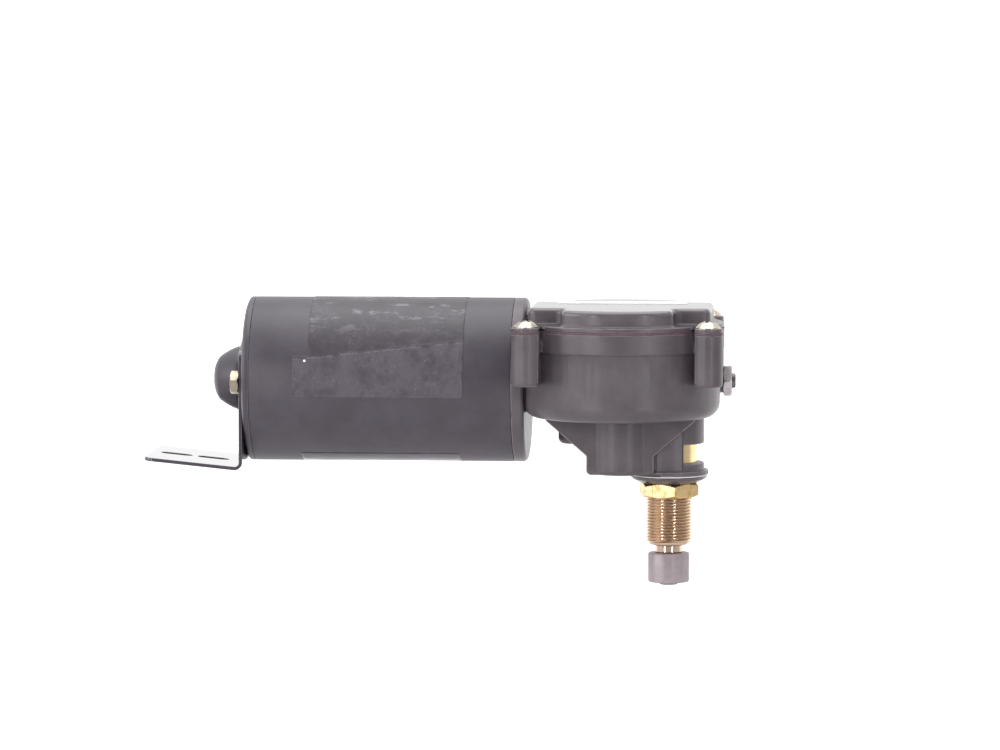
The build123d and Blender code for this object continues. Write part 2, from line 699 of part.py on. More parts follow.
sector_step = 360 / sector_teeth_full
sector_half = sector_step * sector_teeth / 2
sector_root_r = sector_r - 1.25 * train_module
with BuildPart() as sector_gear:
    with BuildSketch(level(sector_x, sector_y, sector_low_z)) as sector_face:
        with BuildLine():
            wedge = [
                (
                    sector_root_r * cos(radians(sector_bearing_angle + 180 + a)),
                    sector_root_r * sin(radians(sector_bearing_angle + 180 + a)),
                )
                for a in (-sector_half, 0, sector_half)
            ]
            Line((0, 0), wedge[0])
            ThreePointArc(*wedge)
            Line(wedge[2], (0, 0))
        make_face()
        add(
            [
                tooth(
                    sector_teeth_full,
                    train_module,
                    train_backlash,
                    sector_bearing_angle + 180 + sector_step * i,
                )
                for i in range(-(sector_teeth // 2), sector_teeth // 2 + 1)
            ]
        )
        Circle(sector_hub_r)
    extrude(amount=sector_thickness)
    with BuildSketch(level(sector_x, sector_y, sector_low_z)):
        Circle(sector_hub_r)
        with Locations((link_end_x - sector_x, link_end_y - sector_y)):
            Circle(sector_eye_r)
        make_hull()
    extrude(amount=sector_thickness)
    with BuildSketch(level(sector_x, sector_y, sector_low_z)):
        Circle(sector_pin_r + running_clearance)
        with Locations((link_end_x - sector_x, link_end_y - sector_y)):
            Circle(link_pin_r + press_clearance)
    extrude(amount=sector_thickness, mode=Mode.SUBTRACT)
sector_gear.part.label = "sector_gear"

with BuildPart() as sector_link_pin:
    with BuildSketch(level(link_end_x, link_end_y, link_high_z + open_link_gap)):
        Circle(link_pin_r)
    extrude(amount=sector_high_z - link_high_z - open_link_gap)
    with BuildSketch(level(link_end_x, link_end_y, sector_high_z)):
        Circle(link_pin_head_r)
    extrude(amount=link_pin_head)
sector_link_pin.part.label = "sector_link_pin"

sector_pin_top_z = sector_high_z + clip_thickness + face_clearance + 1.0
with BuildPart() as sector_pin:
    with BuildSketch(level(sector_x, sector_y, sector_low_z - sector_pin_depth)):
        Circle(sector_pin_r)
    extrude(amount=sector_pin_top_z - sector_low_z + sector_pin_depth)
    chamfer(sector_pin.edges().sort_by(Axis.Z)[-1], 0.4)
sector_pin.part.label = "sector_pin"

with BuildPart() as sector_clip:
    with BuildSketch(level(sector_x, sector_y, sector_high_z + face_clearance)):
        Circle(sector_pin_r + clip_width)
        Circle(sector_pin_r + press_clearance, mode=Mode.SUBTRACT)
        with Locations((sector_pin_r + clip_width, 0)):
            Rectangle(2 * clip_width + 1, clip_width, mode=Mode.SUBTRACT)
    extrude(amount=clip_thickness)
sector_clip.part.label = "sector_clip"

with BuildPart() as connecting_link:
    with BuildSketch(level(crank_x, crank_y, link_low_z)):
        Circle(link_eye_r)
        with Locations((link_end_x - crank_x, link_end_y - crank_y)):
            Circle(link_eye_r)
        make_hull()
    extrude(amount=link_thickness)
    with BuildSketch(level(crank_x, crank_y, link_low_z)):
        Circle(crank_pin_r + running_clearance)
        with Locations((link_end_x - crank_x, link_end_y - crank_y)):
            Circle(link_pin_r + running_clearance)
    extrude(amount=link_thickness, mode=Mode.SUBTRACT)
connecting_link.part.label = "connecting_link"

crank_pin_top_z = link_high_z + face_clearance + 0.5 + 0.4
with BuildPart() as crank_pin:
    with BuildSketch(level(crank_x, crank_y, wheel_low_z + 1.5)):
        Circle(crank_pin_r)
    extrude(amount=crank_pin_top_z - wheel_low_z - 1.5)
    with BuildSketch(level(crank_x, crank_y, wheel_high_z)):
        Circle(crank_shoulder_r)
    extrude(amount=link_rise - face_clearance)
crank_pin.part.label = "crank_pin"

with BuildPart() as link_clip:
    with BuildSketch(level(crank_x, crank_y, link_high_z + face_clearance)):
        Circle(crank_pin_r + 1.6)
        Circle(crank_pin_r + press_clearance, mode=Mode.SUBTRACT)
        with Locations((crank_pin_r + 1.6, 0)):
            Rectangle(4.0, 1.8, mode=Mode.SUBTRACT)
    extrude(amount=0.5)
link_clip.part.label = "link_clip"

# ================================================================ worm and wheel
wheel_pitch_r = gear_module * wheel_teeth / 2
wheel_root_r = wheel_pitch_r - 1.25 * gear_module
thread_pitch = pi * gear_module
tooth_lean = degrees(thread_pitch / (2 * pi * worm_pitch_r) / wheel_pitch_r)
half_lean = tooth_lean * wheel_thickness / 2

with BuildPart() as one_tooth:
    loft(
        [
            tooth(wheel_teeth, gear_module, worm_backlash, -half_lean, wheel_low_z).face(),
            tooth(wheel_teeth, gear_module, worm_backlash, half_lean, wheel_high_z).face(),
        ],
        ruled=True,
    )

with BuildPart() as worm_wheel:
    with BuildSketch(level(wheel_x, wheel_y, wheel_low_z)):
        Circle(wheel_root_r)
    extrude(amount=wheel_thickness)
    with Locations((wheel_x, wheel_y, 0)):
        with PolarLocations(0, wheel_teeth, start_angle=90 + 180 / wheel_teeth):
            add(one_tooth.part)
    with BuildSketch(level(wheel_x, wheel_y, wheel_low_z)):
        Circle(wheel_pin_r + running_clearance)
    extrude(amount=wheel_thickness, mode=Mode.SUBTRACT)
    with BuildSketch(level(crank_x, crank_y, wheel_low_z + 1.5)):
        Circle(crank_pin_r + press_clearance)
    extrude(amount=wheel_thickness, mode=Mode.SUBTRACT)
worm_wheel.part.label = "worm_wheel"

wheel_pin_top_z = wheel_high_z + link_rise - 0.7
with BuildPart() as wheel_pin:
    with BuildSketch(level(wheel_x, wheel_y, floor_z + wheel_boss_height - wheel_pin_depth)):
        Circle(wheel_pin_r)
    extrude(amount=wheel_pin_top_z - floor_z - wheel_boss_height + wheel_pin_depth)
    chamfer(wheel_pin.edges().sort_by(Axis.Z)[-1], 0.4)
wheel_pin.part.label = "wheel_pin"

with BuildPart() as wheel_thrust_washer:
    with BuildSketch(level(wheel_x, wheel_y, floor_z + wheel_boss_height)):
        Circle(wheel_hub_r)
        Circle(wheel_pin_r + press_clearance, mode=Mode.SUBTRACT)
    extrude(amount=wheel_washer)
wheel_thrust_washer.part.label = "wheel_thrust_washer"

with BuildPart() as wheel_clip:
    with BuildSketch(level(wheel_x, wheel_y, wheel_high_z + face_clearance)):
        Circle(wheel_pin_r + clip_width - 1)
        Circle(wheel_pin_r + press_clearance, mode=Mode.SUBTRACT)
        with Locations((0, wheel_pin_r + clip_width)):
            Rectangle(clip_width, 2 * clip_width + 1, mode=Mode.SUBTRACT)
    extrude(amount=clip_thickness)
wheel_clip.part.label = "wheel_clip"

with BuildPart() as park_ring:
    with BuildSketch(level(wheel_x, wheel_y, wheel_low_z - park_ring_thickness)):
        Circle(park_ring_outer_r)
        Circle(park_ring_inner_r, mode=Mode.SUBTRACT)
        with Locations((0, -park_ring_outer_r)):
            Rectangle(park_ring_notch, park_ring_outer_r, mode=Mode.SUBTRACT)
    extrude(amount=park_ring_thickness)
park_ring.part.label = "park_ring"

with BuildPart() as park_switch_plate:
    with BuildSketch(level(wheel_x, wheel_y, floor_z)):
        Circle(park_plate_outer_r)
        Circle(park_plate_inner_r, mode=Mode.SUBTRACT)
        with Locations((park_plate_outer_r, 0)):
            Rectangle(2 * park_plate_cut, 4 * park_plate_outer_r, mode=Mode.SUBTRACT)
    extrude(amount=park_plate_thickness)
park_switch_plate.part.label = "park_switch_plate"

contact_z = floor_z + park_plate_thickness
contact_rise = wheel_low_z - park_ring_thickness - contact_gap - contact_z
with BuildPart() as park_contacts:
    for side in (-1, 1):
        with BuildSketch(Plane.XZ.offset(-wheel_y - side * contact_r - contact_width / 2)):
            with BuildLine():
                Polyline(
                    (wheel_x - contact_foot, contact_z),
                    (wheel_x - contact_strip, contact_z),
                    (wheel_x + contact_reach, contact_z + contact_rise - contact_strip),
                    (wheel_x + contact_reach, contact_z + contact_rise),
                    (wheel_x + contact_reach - 2 * contact_strip, contact_z + contact_rise),
                    (wheel_x - 2 * contact_strip, contact_z + contact_strip),
                    (wheel_x - contact_foot, contact_z + contact_strip),
                    close=True,
                )
            make_face()
        extrude(amount=contact_width)
park_contacts.part.label = "park_contacts"

# ================================================================ armature
worm_root_r = worm_pitch_r - 1.3 * gear_module
worm_tip_r = worm_pitch_r + 0.95 * gear_module
end_shaft_x = end_boss_x + end_bush_length - 0.5
rear_bearing_x = dome_tip_x + 4.6
rear_shaft_x = rear_bearing_x + 0.5
thread_turns = round(worm_length / thread_pitch)
thread_start_x = wheel_x - (thread_turns // 2 + 0.25) * thread_pitch
thread_end_x = thread_start_x + thread_turns * thread_pitch
worm_start = Vector(thread_start_x, motor_y, motor_z)
half_axial = thread_pitch / 4 - worm_backlash
flank = tan(radians(pressure_angle))

with BuildPart() as worm_shaft:
    revolve(
        outline(
            motor_section,
            (rear_shaft_x, 0),
            (rear_shaft_x, shaft_r - 0.4),
            (rear_shaft_x + 0.4, shaft_r),
            (thread_start_x - 3.0, shaft_r),
            (thread_start_x - 2.0, worm_root_r),
            (thread_end_x + 1.6, worm_root_r),
            (thread_end_x + 2.0, shaft_r - 0.4),
            (end_shaft_x, shaft_r - 0.4),
            (end_shaft_x, 0),
        ),
        axis=motor_axis,
    )
    with BuildLine() as thread_path:
        Helix(
            thread_pitch,
            thread_turns * thread_pitch,
            worm_pitch_r,
            center=worm_start,
            direction=(1, 0, 0),
        )
    thread_plane = Plane(
        origin=thread_path.line @ 0,
        x_dir=(thread_path.line @ 0) - worm_start,
        z_dir=thread_path.line % 0,
    )
    with BuildSketch(thread_plane):
        with BuildLine():
            top, low = worm_tip_r - worm_pitch_r, worm_root_r - 0.3 - worm_pitch_r
            Polyline(
                (low, -(half_axial - low * flank)),
                (top, -(half_axial - top * flank)),
                (top, half_axial - top * flank),
                (low, half_axial - low * flank),
                close=True,
            )
        make_face()
    sweep(path=thread_path.line, is_frenet=True)
worm_shaft.part.label = "worm_shaft"

with BuildPart() as armature_core:
    with BuildSketch(across(core_back_x)):
        Circle(core_r)
        with PolarLocations(core_r - slot_depth, core_slots, start_angle=18):
            Circle(slot_r, mode=Mode.SUBTRACT)
        with PolarLocations(core_r - slot_depth / 2, core_slots, start_angle=18):
            Rectangle(slot_depth + 2, slot_mouth, mode=Mode.SUBTRACT)
        Circle(shaft_r + press_clearance, mode=Mode.SUBTRACT)
    extrude(amount=core_length)
armature_core.part.label = "armature_core"

with BuildPart() as armature_windings:
    for x in (core_back_x - winding_length, core_front_x):
        with BuildSketch(across(x)):
            Circle(winding_r)
            Circle(winding_hub_r, mode=Mode.SUBTRACT)
        extrude(amount=winding_length)
    fillet(
        armature_windings.edges().filter_by(GeomType.CIRCLE).filter_by(
            lambda e: abs(e.radius - winding_r) < 0.01
        ),
        2.5,
    )
    with BuildSketch(across(core_back_x - 0.5)):
        with PolarLocations(core_r - slot_depth, core_slots, start_angle=18):
            Circle(slot_r - winding_inset)
    extrude(amount=core_length + 1)
armature_windings.part.label = "armature_windings"

commutator_x = core_front_x + winding_length + commutator_gap
with BuildPart() as commutator:
    with BuildSketch(across(commutator_x)):
        Circle(commutator_r)
        with PolarLocations(commutator_r, core_slots):
            Rectangle(1.6, 0.6, mode=Mode.SUBTRACT)
        Circle(shaft_r + press_clearance, mode=Mode.SUBTRACT)
    extrude(amount=commutator_length)
commutator.part.label = "commutator"

# ================================================================ motor housing
with BuildPart() as motor_can:
    with BuildSketch(across(can_back_x)):
        Circle(can_r)
        Circle(can_inner_r, mode=Mode.SUBTRACT)
    extrude(amount=can_length)
motor_can.part.label = "motor_can"

magnet_back_x = core_back_x - 4.0
with BuildPart() as magnets:
    for middle in (90, 270):
        inner, outer = core_r + air_gap, can_inner_r - magnet_glue
        ends = [radians(middle - magnet_angle / 2), radians(middle), radians(middle + magnet_angle / 2)]
        near = [(inner * cos(a), inner * sin(a)) for a in ends]
        far = [(outer * cos(a), outer * sin(a)) for a in ends]
        with BuildSketch(across(magnet_back_x)):
            with BuildLine():
                ThreePointArc(*near)
                Line(near[2], far[2])
                ThreePointArc(*reversed(far))
                Line(far[0], near[0])
            make_face()
        extrude(amount=core_length + 8.0)
magnets.part.label = "magnets"

with BuildPart() as motor_end_cap:
    with BuildSketch(motor_section):
        with BuildLine():
            cone_x = cap_face_x - dome_straight
            tip_shoulder_x = cone_x - dome_cone
            Polyline(
                (can_back_x, can_r),
                (can_back_x - cap_lip, can_r),
            )
            Spline(
                (can_back_x - cap_lip, can_r),
                (can_back_x - cap_lip - 0.62 * (cap_shoulder - cap_lip), can_r - 0.9),
                (cap_face_x, cap_face_r),
                tangents=((-1, 0), (0, -1)),
            )
            Polyline(
                (cap_face_x, cap_face_r),
                (cap_face_x, dome_base_r),
                (cone_x, dome_base_r - 0.2),
                (tip_shoulder_x, dome_cone_r),
            )
            Spline(
                (tip_shoulder_x, dome_cone_r),
                (dome_tip_x + 0.45, dome_tip_r + 1.6),
                (dome_tip_x, 0),
                tangents=((-1, -0.7), (0, -1)),
            )
            Polyline(
                (dome_tip_x, 0),
                (dome_tip_x + cap_wall, 0),
                (dome_tip_x + cap_wall, dome_tip_r),
                (rear_bearing_x, rear_bearing_r + press_clearance),
                (rear_bearing_x + rear_bearing_length, rear_bearing_r + press_clearance),
                (rear_bearing_x + rear_bearing_length, dome_base_r - cap_wall),
                (cap_face_x + cap_wall, dome_base_r - cap_wall),
                (cap_face_x + cap_wall, can_r - cap_wall - 1.5),
                (can_back_x, can_r - cap_wall - 1.5),
                (can_back_x, can_r),
            )
        make_face()
    revolve(axis=motor_axis)
    with BuildSketch(across(cap_face_x)):
        with Locations(*[(side * bolt_spacing / 2, 0) for side in (-1, 1)]):
            Circle(bolt_r + hole_clearance)
    extrude(amount=cap_shoulder, mode=Mode.SUBTRACT)
motor_end_cap.part.label = "motor_end_cap"

with BuildPart() as through_bolts:
    with BuildSketch(across(bracket_outer_x - end_nut_height - bolt_overhang)):
        with Locations(*[(side * bolt_spacing / 2, 0) for side in (-1, 1)]):
            Circle(bolt_r)
    extrude(
        amount=spigot_x + spigot_length + 5.5
        - bracket_outer_x + end_nut_height + bolt_overhang
    )
through_bolts.part.label = "through_bolts"

with BuildPart() as end_nuts:
    with BuildSketch(across(bracket_outer_x - end_nut_height)):
        with Locations(*[(side * bolt_spacing / 2, 0) for side in (-1, 1)]):
            RegularPolygon(end_nut_across_flats / 2, 6, major_radius=False)
            Circle(bolt_r + press_clearance, mode=Mode.SUBTRACT)
    extrude(amount=end_nut_height)
    chamfer(end_nuts.faces().sort_by(Axis.X)[:2].edges().filter_by(GeomType.LINE), 0.5)
end_nuts.part.label = "end_nuts"

with BuildPart() as rear_bearing:
    with BuildSketch(across(rear_bearing_x)):
        Circle(rear_bearing_r)
        Circle(shaft_r + running_clearance, mode=Mode.SUBTRACT)
    extrude(amount=rear_bearing_length)
rear_bearing.part.label = "rear_bearing"

with BuildPart() as bearing_retainer:
    with BuildSketch(across(rear_bearing_x + rear_bearing_length)):
        Circle(retainer_r - press_clearance)
        Circle(shaft_r + 1.2, mode=Mode.SUBTRACT)
        with PolarLocations(retainer_r, 6):
            Rectangle(3.0, 2.2, mode=Mode.SUBTRACT)
    extrude(amount=retainer_thickness)
bearing_retainer.part.label = "bearing_retainer"

with BuildPart() as front_bearing:
    with BuildSketch(across(can_front_x)):
        Circle(front_bearing_r)
        Circle(shaft_r + running_clearance, mode=Mode.SUBTRACT)
    extrude(amount=front_bearing_length)
front_bearing.part.label = "front_bearing"

with BuildPart() as worm_end_bush:
    with BuildSketch(across(end_boss_x)):
        Circle(end_bush_r)
        Circle(shaft_r - 0.4 + running_clearance, mode=Mode.SUBTRACT)
    extrude(amount=end_bush_length)
worm_end_bush.part.label = "worm_end_bush"

# ================================================================ brush gear
with BuildPart() as brush_plate:
    with BuildSketch(across(brush_plate_x)):
        Circle(can_inner_r - 0.3)
        Circle(brush_plate_hole_r, mode=Mode.SUBTRACT)
        with Locations(*[(side * bolt_spacing / 2, 0) for side in (-1, 1)]):
            Circle(bolt_r + hole_clearance, mode=Mode.SUBTRACT)
    extrude(amount=brush_plate_thickness)
brush_plate.part.label = "brush_plate"

holder_x = brush_plate_x - holder_length
holder_r = commutator_r + holder_gap
with BuildPart() as brush_holders:
    for side in (-1, 1):
        with BuildSketch(across(holder_x)):
            with Locations((0, side * (holder_r + holder_height / 2))):
                Rectangle(holder_width, holder_height)
        extrude(amount=holder_length)
        with BuildSketch(level(holder_x + holder_length / 2, motor_y, motor_z)):
            Rectangle(holder_length - 2 * holder_wall, holder_width - 2 * holder_wall)
        extrude(amount=side * (holder_r + holder_height + 1), mode=Mode.SUBTRACT)
brush_holders.part.label = "brush_holders"

with BuildPart() as carbon_brushes:
    for side in (-1, 1):
        brush_z = motor_z + side * (commutator_r + brush_lift)
        with BuildSketch(level(holder_x + holder_length / 2, motor_y, brush_z)):
            Rectangle(
                holder_length - 2 * holder_wall - 2 * brush_clearance,
                holder_width - 2 * holder_wall - 2 * brush_clearance,
            )
        extrude(amount=side * brush_height)
carbon_brushes.part.label = "carbon_brushes"

spring_bend = holder_wall + 0.3
with BuildPart() as brush_springs:
    for side in (-1, 1):
        foot = motor_z + side * (commutator_r + brush_lift + brush_height)
        top = motor_z + side * (holder_r + holder_height)
        with BuildSketch(Plane.XZ.offset(-motor_y - spring_width / 2)):
            with BuildLine():
                Polyline(
                    (holder_x, top),
                    (holder_x + spring_bend, top),
                    (holder_x + holder_length / 2 - 1, foot),
                    (holder_x + holder_length / 2 + 1, foot),
                    (holder_x + holder_length - spring_bend, top),
                    (holder_x + holder_length, top),
                )
                offset(amount=spring_thickness, side=Side.LEFT if side > 0 else Side.RIGHT)
            make_face()
        extrude(amount=spring_width)
brush_springs.part.label = "brush_springs"

# ================================================================ thrust stop and lead outlet
ball_r = 2.4
with BuildPart() as thrust_ball:
    with Locations((end_shaft_x + 0.5 + ball_r, motor_y, motor_z)):
        Sphere(ball_r)
thrust_ball.part.label = "thrust_ball"

thrust_nut_af, thrust_nut_height, thrust_overhang = 12.0, 3.6, 1.4
thrust_tip_x = thrust_nose_x + thrust_nut_height + thrust_overhang
with BuildPart() as thrust_screw:
    with BuildSketch(across(end_shaft_x + 0.5 + 2 * ball_r)):
        Circle(thrust_screw_r)
    extrude(amount=thrust_tip_x - end_shaft_x - 0.5 - 2 * ball_r)
    with BuildSketch(across(thrust_tip_x)):
        Rectangle(8, 1.0)
    extrude(amount=-1.0, mode=Mode.SUBTRACT)
thrust_screw.part.label = "thrust_screw"

with BuildPart() as thrust_lock_nut:
    with BuildSketch(across(thrust_nose_x)):
        RegularPolygon(thrust_nut_af / 2, 6, major_radius=False, rotation=0)
    extrude(amount=thrust_nut_height)
    chamfer(thrust_lock_nut.faces().sort_by(Axis.X)[-1].edges(), 0.6)
    with BuildSketch(across(thrust_nose_x)):
        Circle(thrust_screw_r + press_clearance)
    extrude(amount=thrust_nut_height, mode=Mode.SUBTRACT)
thrust_lock_nut.part.label = "thrust_lock_nut"

with BuildPart() as lead_grommet:
    grommet_plane = Plane(
        origin=(grommet_x, wheel_y + rim_r + 1.0, grommet_z), x_dir=(1, 0, 0), z_dir=(0, -1, 0)
    )
    with BuildSketch(grommet_plane):
        Circle(grommet_r - 1.2 - press_clearance)
        Circle(1.8, mode=Mode.SUBTRACT)
    extrude(amount=8.0)
    with BuildSketch(grommet_plane):
        Circle(grommet_r)
        Circle(1.8, mode=Mode.SUBTRACT)
    extrude(amount=-2.0)
lead_grommet.part.label = "lead_grommet"

# ================================================================ mounting bracket
foot_slope = tan(radians(foot_angle))
bracket_inner_x = cap_face_x
foot_corner_z = motor_z - foot_drop
foot_end_x = bracket_inner_x - foot_reach
with BuildPart() as mounting_bracket:
    with BuildSketch(Plane.XZ.offset(-motor_y - bracket_half_width)):
        with BuildLine():
            FilletPolyline(
                (bracket_inner_x, motor_z + bracket_top),
                (bracket_inner_x, foot_corner_z),
                (foot_end_x, foot_corner_z + foot_reach * foot_slope),
                radius=bend_r,
            )
            offset(amount=bracket_thickness, side=Side.RIGHT)
        make_face()
    extrude(amount=2 * bracket_half_width)
    with BuildSketch(across(bracket_inner_x - bracket_thickness - 1)):
        with Locations((0, bracket_top - bracket_half_width / 4)):
            Rectangle(2 * bracket_half_width + 2, bracket_half_width / 2 + 2)
        with Locations((0, bracket_top - bracket_top_r)):
            Circle(bracket_top_r, mode=Mode.SUBTRACT)
    extrude(amount=bracket_thickness + 2, mode=Mode.SUBTRACT)
    with BuildSketch(across(bracket_inner_x - bracket_thickness - 1)):
        Circle(dome_base_r + bracket_hole_clearance)
        with Locations(*[(side * bolt_spacing / 2, 0) for side in (-1, 1)]):
            Circle(bolt_r + hole_clearance)
    extrude(amount=bracket_thickness + 2, mode=Mode.SUBTRACT)
    foot_plane = Plane(
        origin=(bracket_inner_x, motor_y, foot_corner_z),
        x_dir=(-cos(radians(foot_angle)), 0, sin(radians(foot_angle))),
        z_dir=(sin(radians(foot_angle)), 0, cos(radians(foot_angle))),
    )
    with BuildSketch(foot_plane.offset(-1)):
        with Locations((first_slot, 0), (first_slot + slot_pitch, 0)):
            SlotOverall(slot_length, slot_width)
    extrude(amount=bracket_thickness + 2, mode=Mode.SUBTRACT)
    corners = mounting_bracket.edges().filter_by(
        lambda e: abs(e.length - bracket_thickness) < 0.01
    )
    fillet(corners.sort_by(Axis.X)[:2], foot_corner)
    fillet(corners.sort_by(Axis.Z)[-2:], bracket_corner)
mounting_bracket.part.label = "mounting_bracket"

# ================================================================ files
os.makedirs("parts", exist_ok=True)
pieces = [
    gear_case, cover_gasket, gear_case_cover, cover_screws, cover_label,
    spindle_bush, spindle_nut, spindle_washer, output_shaft, shaft_seal, driver, shaft_clip,
    output_pinion, pinion_washer, sector_gear, sector_link_pin, sector_pin, sector_clip,
    connecting_link, crank_pin, link_clip, worm_wheel, wheel_pin, wheel_thrust_washer,
    wheel_clip, park_ring, park_switch_plate, park_contacts, worm_shaft, armature_core,
    armature_windings, commutator, motor_can, magnets, motor_end_cap, through_bolts,
    end_nuts, rear_bearing, bearing_retainer, front_bearing, worm_end_bush, brush_plate,
    brush_holders, carbon_brushes, brush_springs, thrust_ball, thrust_screw,
    thrust_lock_nut, lead_grommet, mounting_bracket,
]
for piece in pieces:
    export_step(piece.part, f"parts/{piece.part.label}.step")
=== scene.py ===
"""Dresses the wiper motor: finer outer pieces, finishes, a studio and a camera."""

import math

import bmesh
import bpy
from bpy.props import FloatProperty, FloatVectorProperty, PointerProperty
from mathutils import Matrix, Vector, noise
from mathutils.bvhtree import BVHTree
from mathutils.kdtree import KDTree


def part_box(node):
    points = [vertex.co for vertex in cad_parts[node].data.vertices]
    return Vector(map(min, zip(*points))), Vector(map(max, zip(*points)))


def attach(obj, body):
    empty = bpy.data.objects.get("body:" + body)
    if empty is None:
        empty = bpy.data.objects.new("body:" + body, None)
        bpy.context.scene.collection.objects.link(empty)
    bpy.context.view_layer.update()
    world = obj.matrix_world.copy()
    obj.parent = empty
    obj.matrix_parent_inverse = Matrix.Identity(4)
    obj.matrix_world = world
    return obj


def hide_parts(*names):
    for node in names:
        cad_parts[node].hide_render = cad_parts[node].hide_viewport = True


bl_info = {
    "name": "Wiper Motor",
    "version": (1, 0, 0),
    "blender": (4, 5, 0),
    "location": "3D View > Sidebar > Wiper Motor",
    "description": "Builds the finer pieces, finishes and studio of a wiper motor",
    "category": "Object",
}

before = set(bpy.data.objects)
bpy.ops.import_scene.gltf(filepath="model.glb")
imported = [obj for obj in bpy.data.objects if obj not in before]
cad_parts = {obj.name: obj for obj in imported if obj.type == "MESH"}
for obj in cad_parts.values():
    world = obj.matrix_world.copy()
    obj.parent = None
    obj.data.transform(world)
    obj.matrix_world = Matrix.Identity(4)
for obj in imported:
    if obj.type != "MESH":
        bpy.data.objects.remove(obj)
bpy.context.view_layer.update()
MM = 0.001

# Sizes that have to agree with the CAD pieces beside them, so the sidebar doesn't offer them.
THREAD_CREST = 9.525 * MM
NUT_BORE = 9.3 * MM
DRIVER_BORE = 4.01 * MM
BOLT_NUT_BORE = 2.09 * MM
LOCK_NUT_BORE = 3.01 * MM
NUT_CHAMFER = 30  # degrees
SCREW_HEAD = 5.1 * MM
SCREW_SHANK = 2.4 * MM
SCREW_DROP = 6.7 * MM  # from the lid's top down to the heads' seats
CAN_WALL = 3.0 * MM

# Corners of the castings.
SHARP_CORNER = math.radians(33)
BEVEL_TRIES = 3
STRIP_CORNERS = 8  # a face with more corners than this counts as a strip

# Films on the can. Angles are 0 at the can's front and grow upwards.
FILM_GAUGE = 0.05 * MM
FILM_FOOT, FILM_TOP, TAIL_TOP = math.radians(-9.1), math.radians(104), math.radians(20)
SEAM_START, SEAM_RISE = 18.5, 12.5  # degrees, at the film's left end and from there to its right end
LAP_START, LAP_RUN = -150.0 * MM, 64.5 * MM
LAP_FOOT, LAP_TOP = math.radians(-112), math.radians(-60)


def low(node):
    """The least corner of a CAD node's box."""
    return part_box(node)[0]


def high(node):
    """The greatest corner of a CAD node's box."""
    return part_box(node)[1]


def middle(node):
    """The middle of a CAD node's box."""
    return (low(node) + high(node)) / 2


# ---------------------------------------------------------------- sizes and colours
def length(name, description, default):
    return FloatProperty(name=name, description=description, default=default, unit="LENGTH", precision=5)


def degrees(name, description, default):
    return FloatProperty(name=name, description=description, default=math.radians(default), subtype="ANGLE")


def colour(name, description, default):
    return FloatVectorProperty(
        name=name, description=description, default=default, subtype="COLOR", size=3, min=0, max=1
    )


class SpindleSizes(bpy.types.PropertyGroup):
    thread_pitch: length("Thread pitch", "Rise of the bush thread in one turn", 1.28 * MM)
    thread_depth: length("Thread depth", "Height of the thread above its root", 1.1 * MM)
    thread_chamfer: length("Thread chamfer", "Bevel at the thread's free end", 1.9 * MM)
    neck_run: length("Neck length", "Turned neck between the driver and the thread", 3.2 * MM)
    neck_radius: length("Neck radius", "Turned neck under the thread", 5.7 * MM)
    bore: length("Bore", "Bush bore radius", 4.04 * MM)
    nut_flats: length("Nut across flats", "Width of the spindle nut", 22.2 * MM)
    nut_turn: degrees("Nut turn", "Turn of the spindle nut", 43.7)
    driver_edge: length("Driver edge", "Rounding of the driver's lower rim", 0.8 * MM)


class MotorSizes(bpy.types.PropertyGroup):
    can_edge: length("Can edge", "Rounding of the can's ends", 0.5 * MM)
    film_start: length("Film start", "Left end of the blank label film", -146.5 * MM)
    film_tail: length("Film tail", "Left end of the film's lower strip", -152.5 * MM)
    film_end: length("Film end", "Right end of the blank label film", -83.0 * MM)
    film_crease: length("Film crease", "Height of the film's wrinkles", 0.16 * MM)
    screw_recess: length("Screw recess", "Depth of the cross recess in a cover screw", 1.3 * MM)


class Colours(bpy.types.PropertyGroup):
    paint: colour("Paint", "Satin black enamel", (0.084, 0.072, 0.080))
    paint_can: colour("Can paint", "Enamel on the drawn can", (0.056, 0.049, 0.061))
    film: colour("Film", "Wrinkled blank label film", (0.058, 0.050, 0.062))
    brass: colour("Brass", "Spindle nut and bush", (0.83, 0.61, 0.31))
    bush: colour("Bush", "Threaded bush", (0.85, 0.69, 0.50))
    driver: colour("Driver", "Sintered driver", (0.35, 0.30, 0.315))
    gasket: colour("Gasket", "Cover gasket", (0.105, 0.060, 0.074))


class StageSizes(bpy.types.PropertyGroup):
    lens: FloatProperty(name="Lens", description="Focal length in mm", default=216.0)
    camera: FloatVectorProperty(
        name="Camera",
        description="Place of the camera",
        default=(0.105788, -2.441437, 0.238725),
        subtype="XYZ",
    )
    camera_turn: degrees("Camera turn", "Yaw of the camera", 4.1)
    camera_fall: degrees("Camera fall", "Downward slope of the view", 4.56)
    floor_width: length("Floor width", "Side of the pale floor", 24.0)
    floor_drop: length("Floor drop", "Floor below the spindle seat, clear of the held part", 0.30)


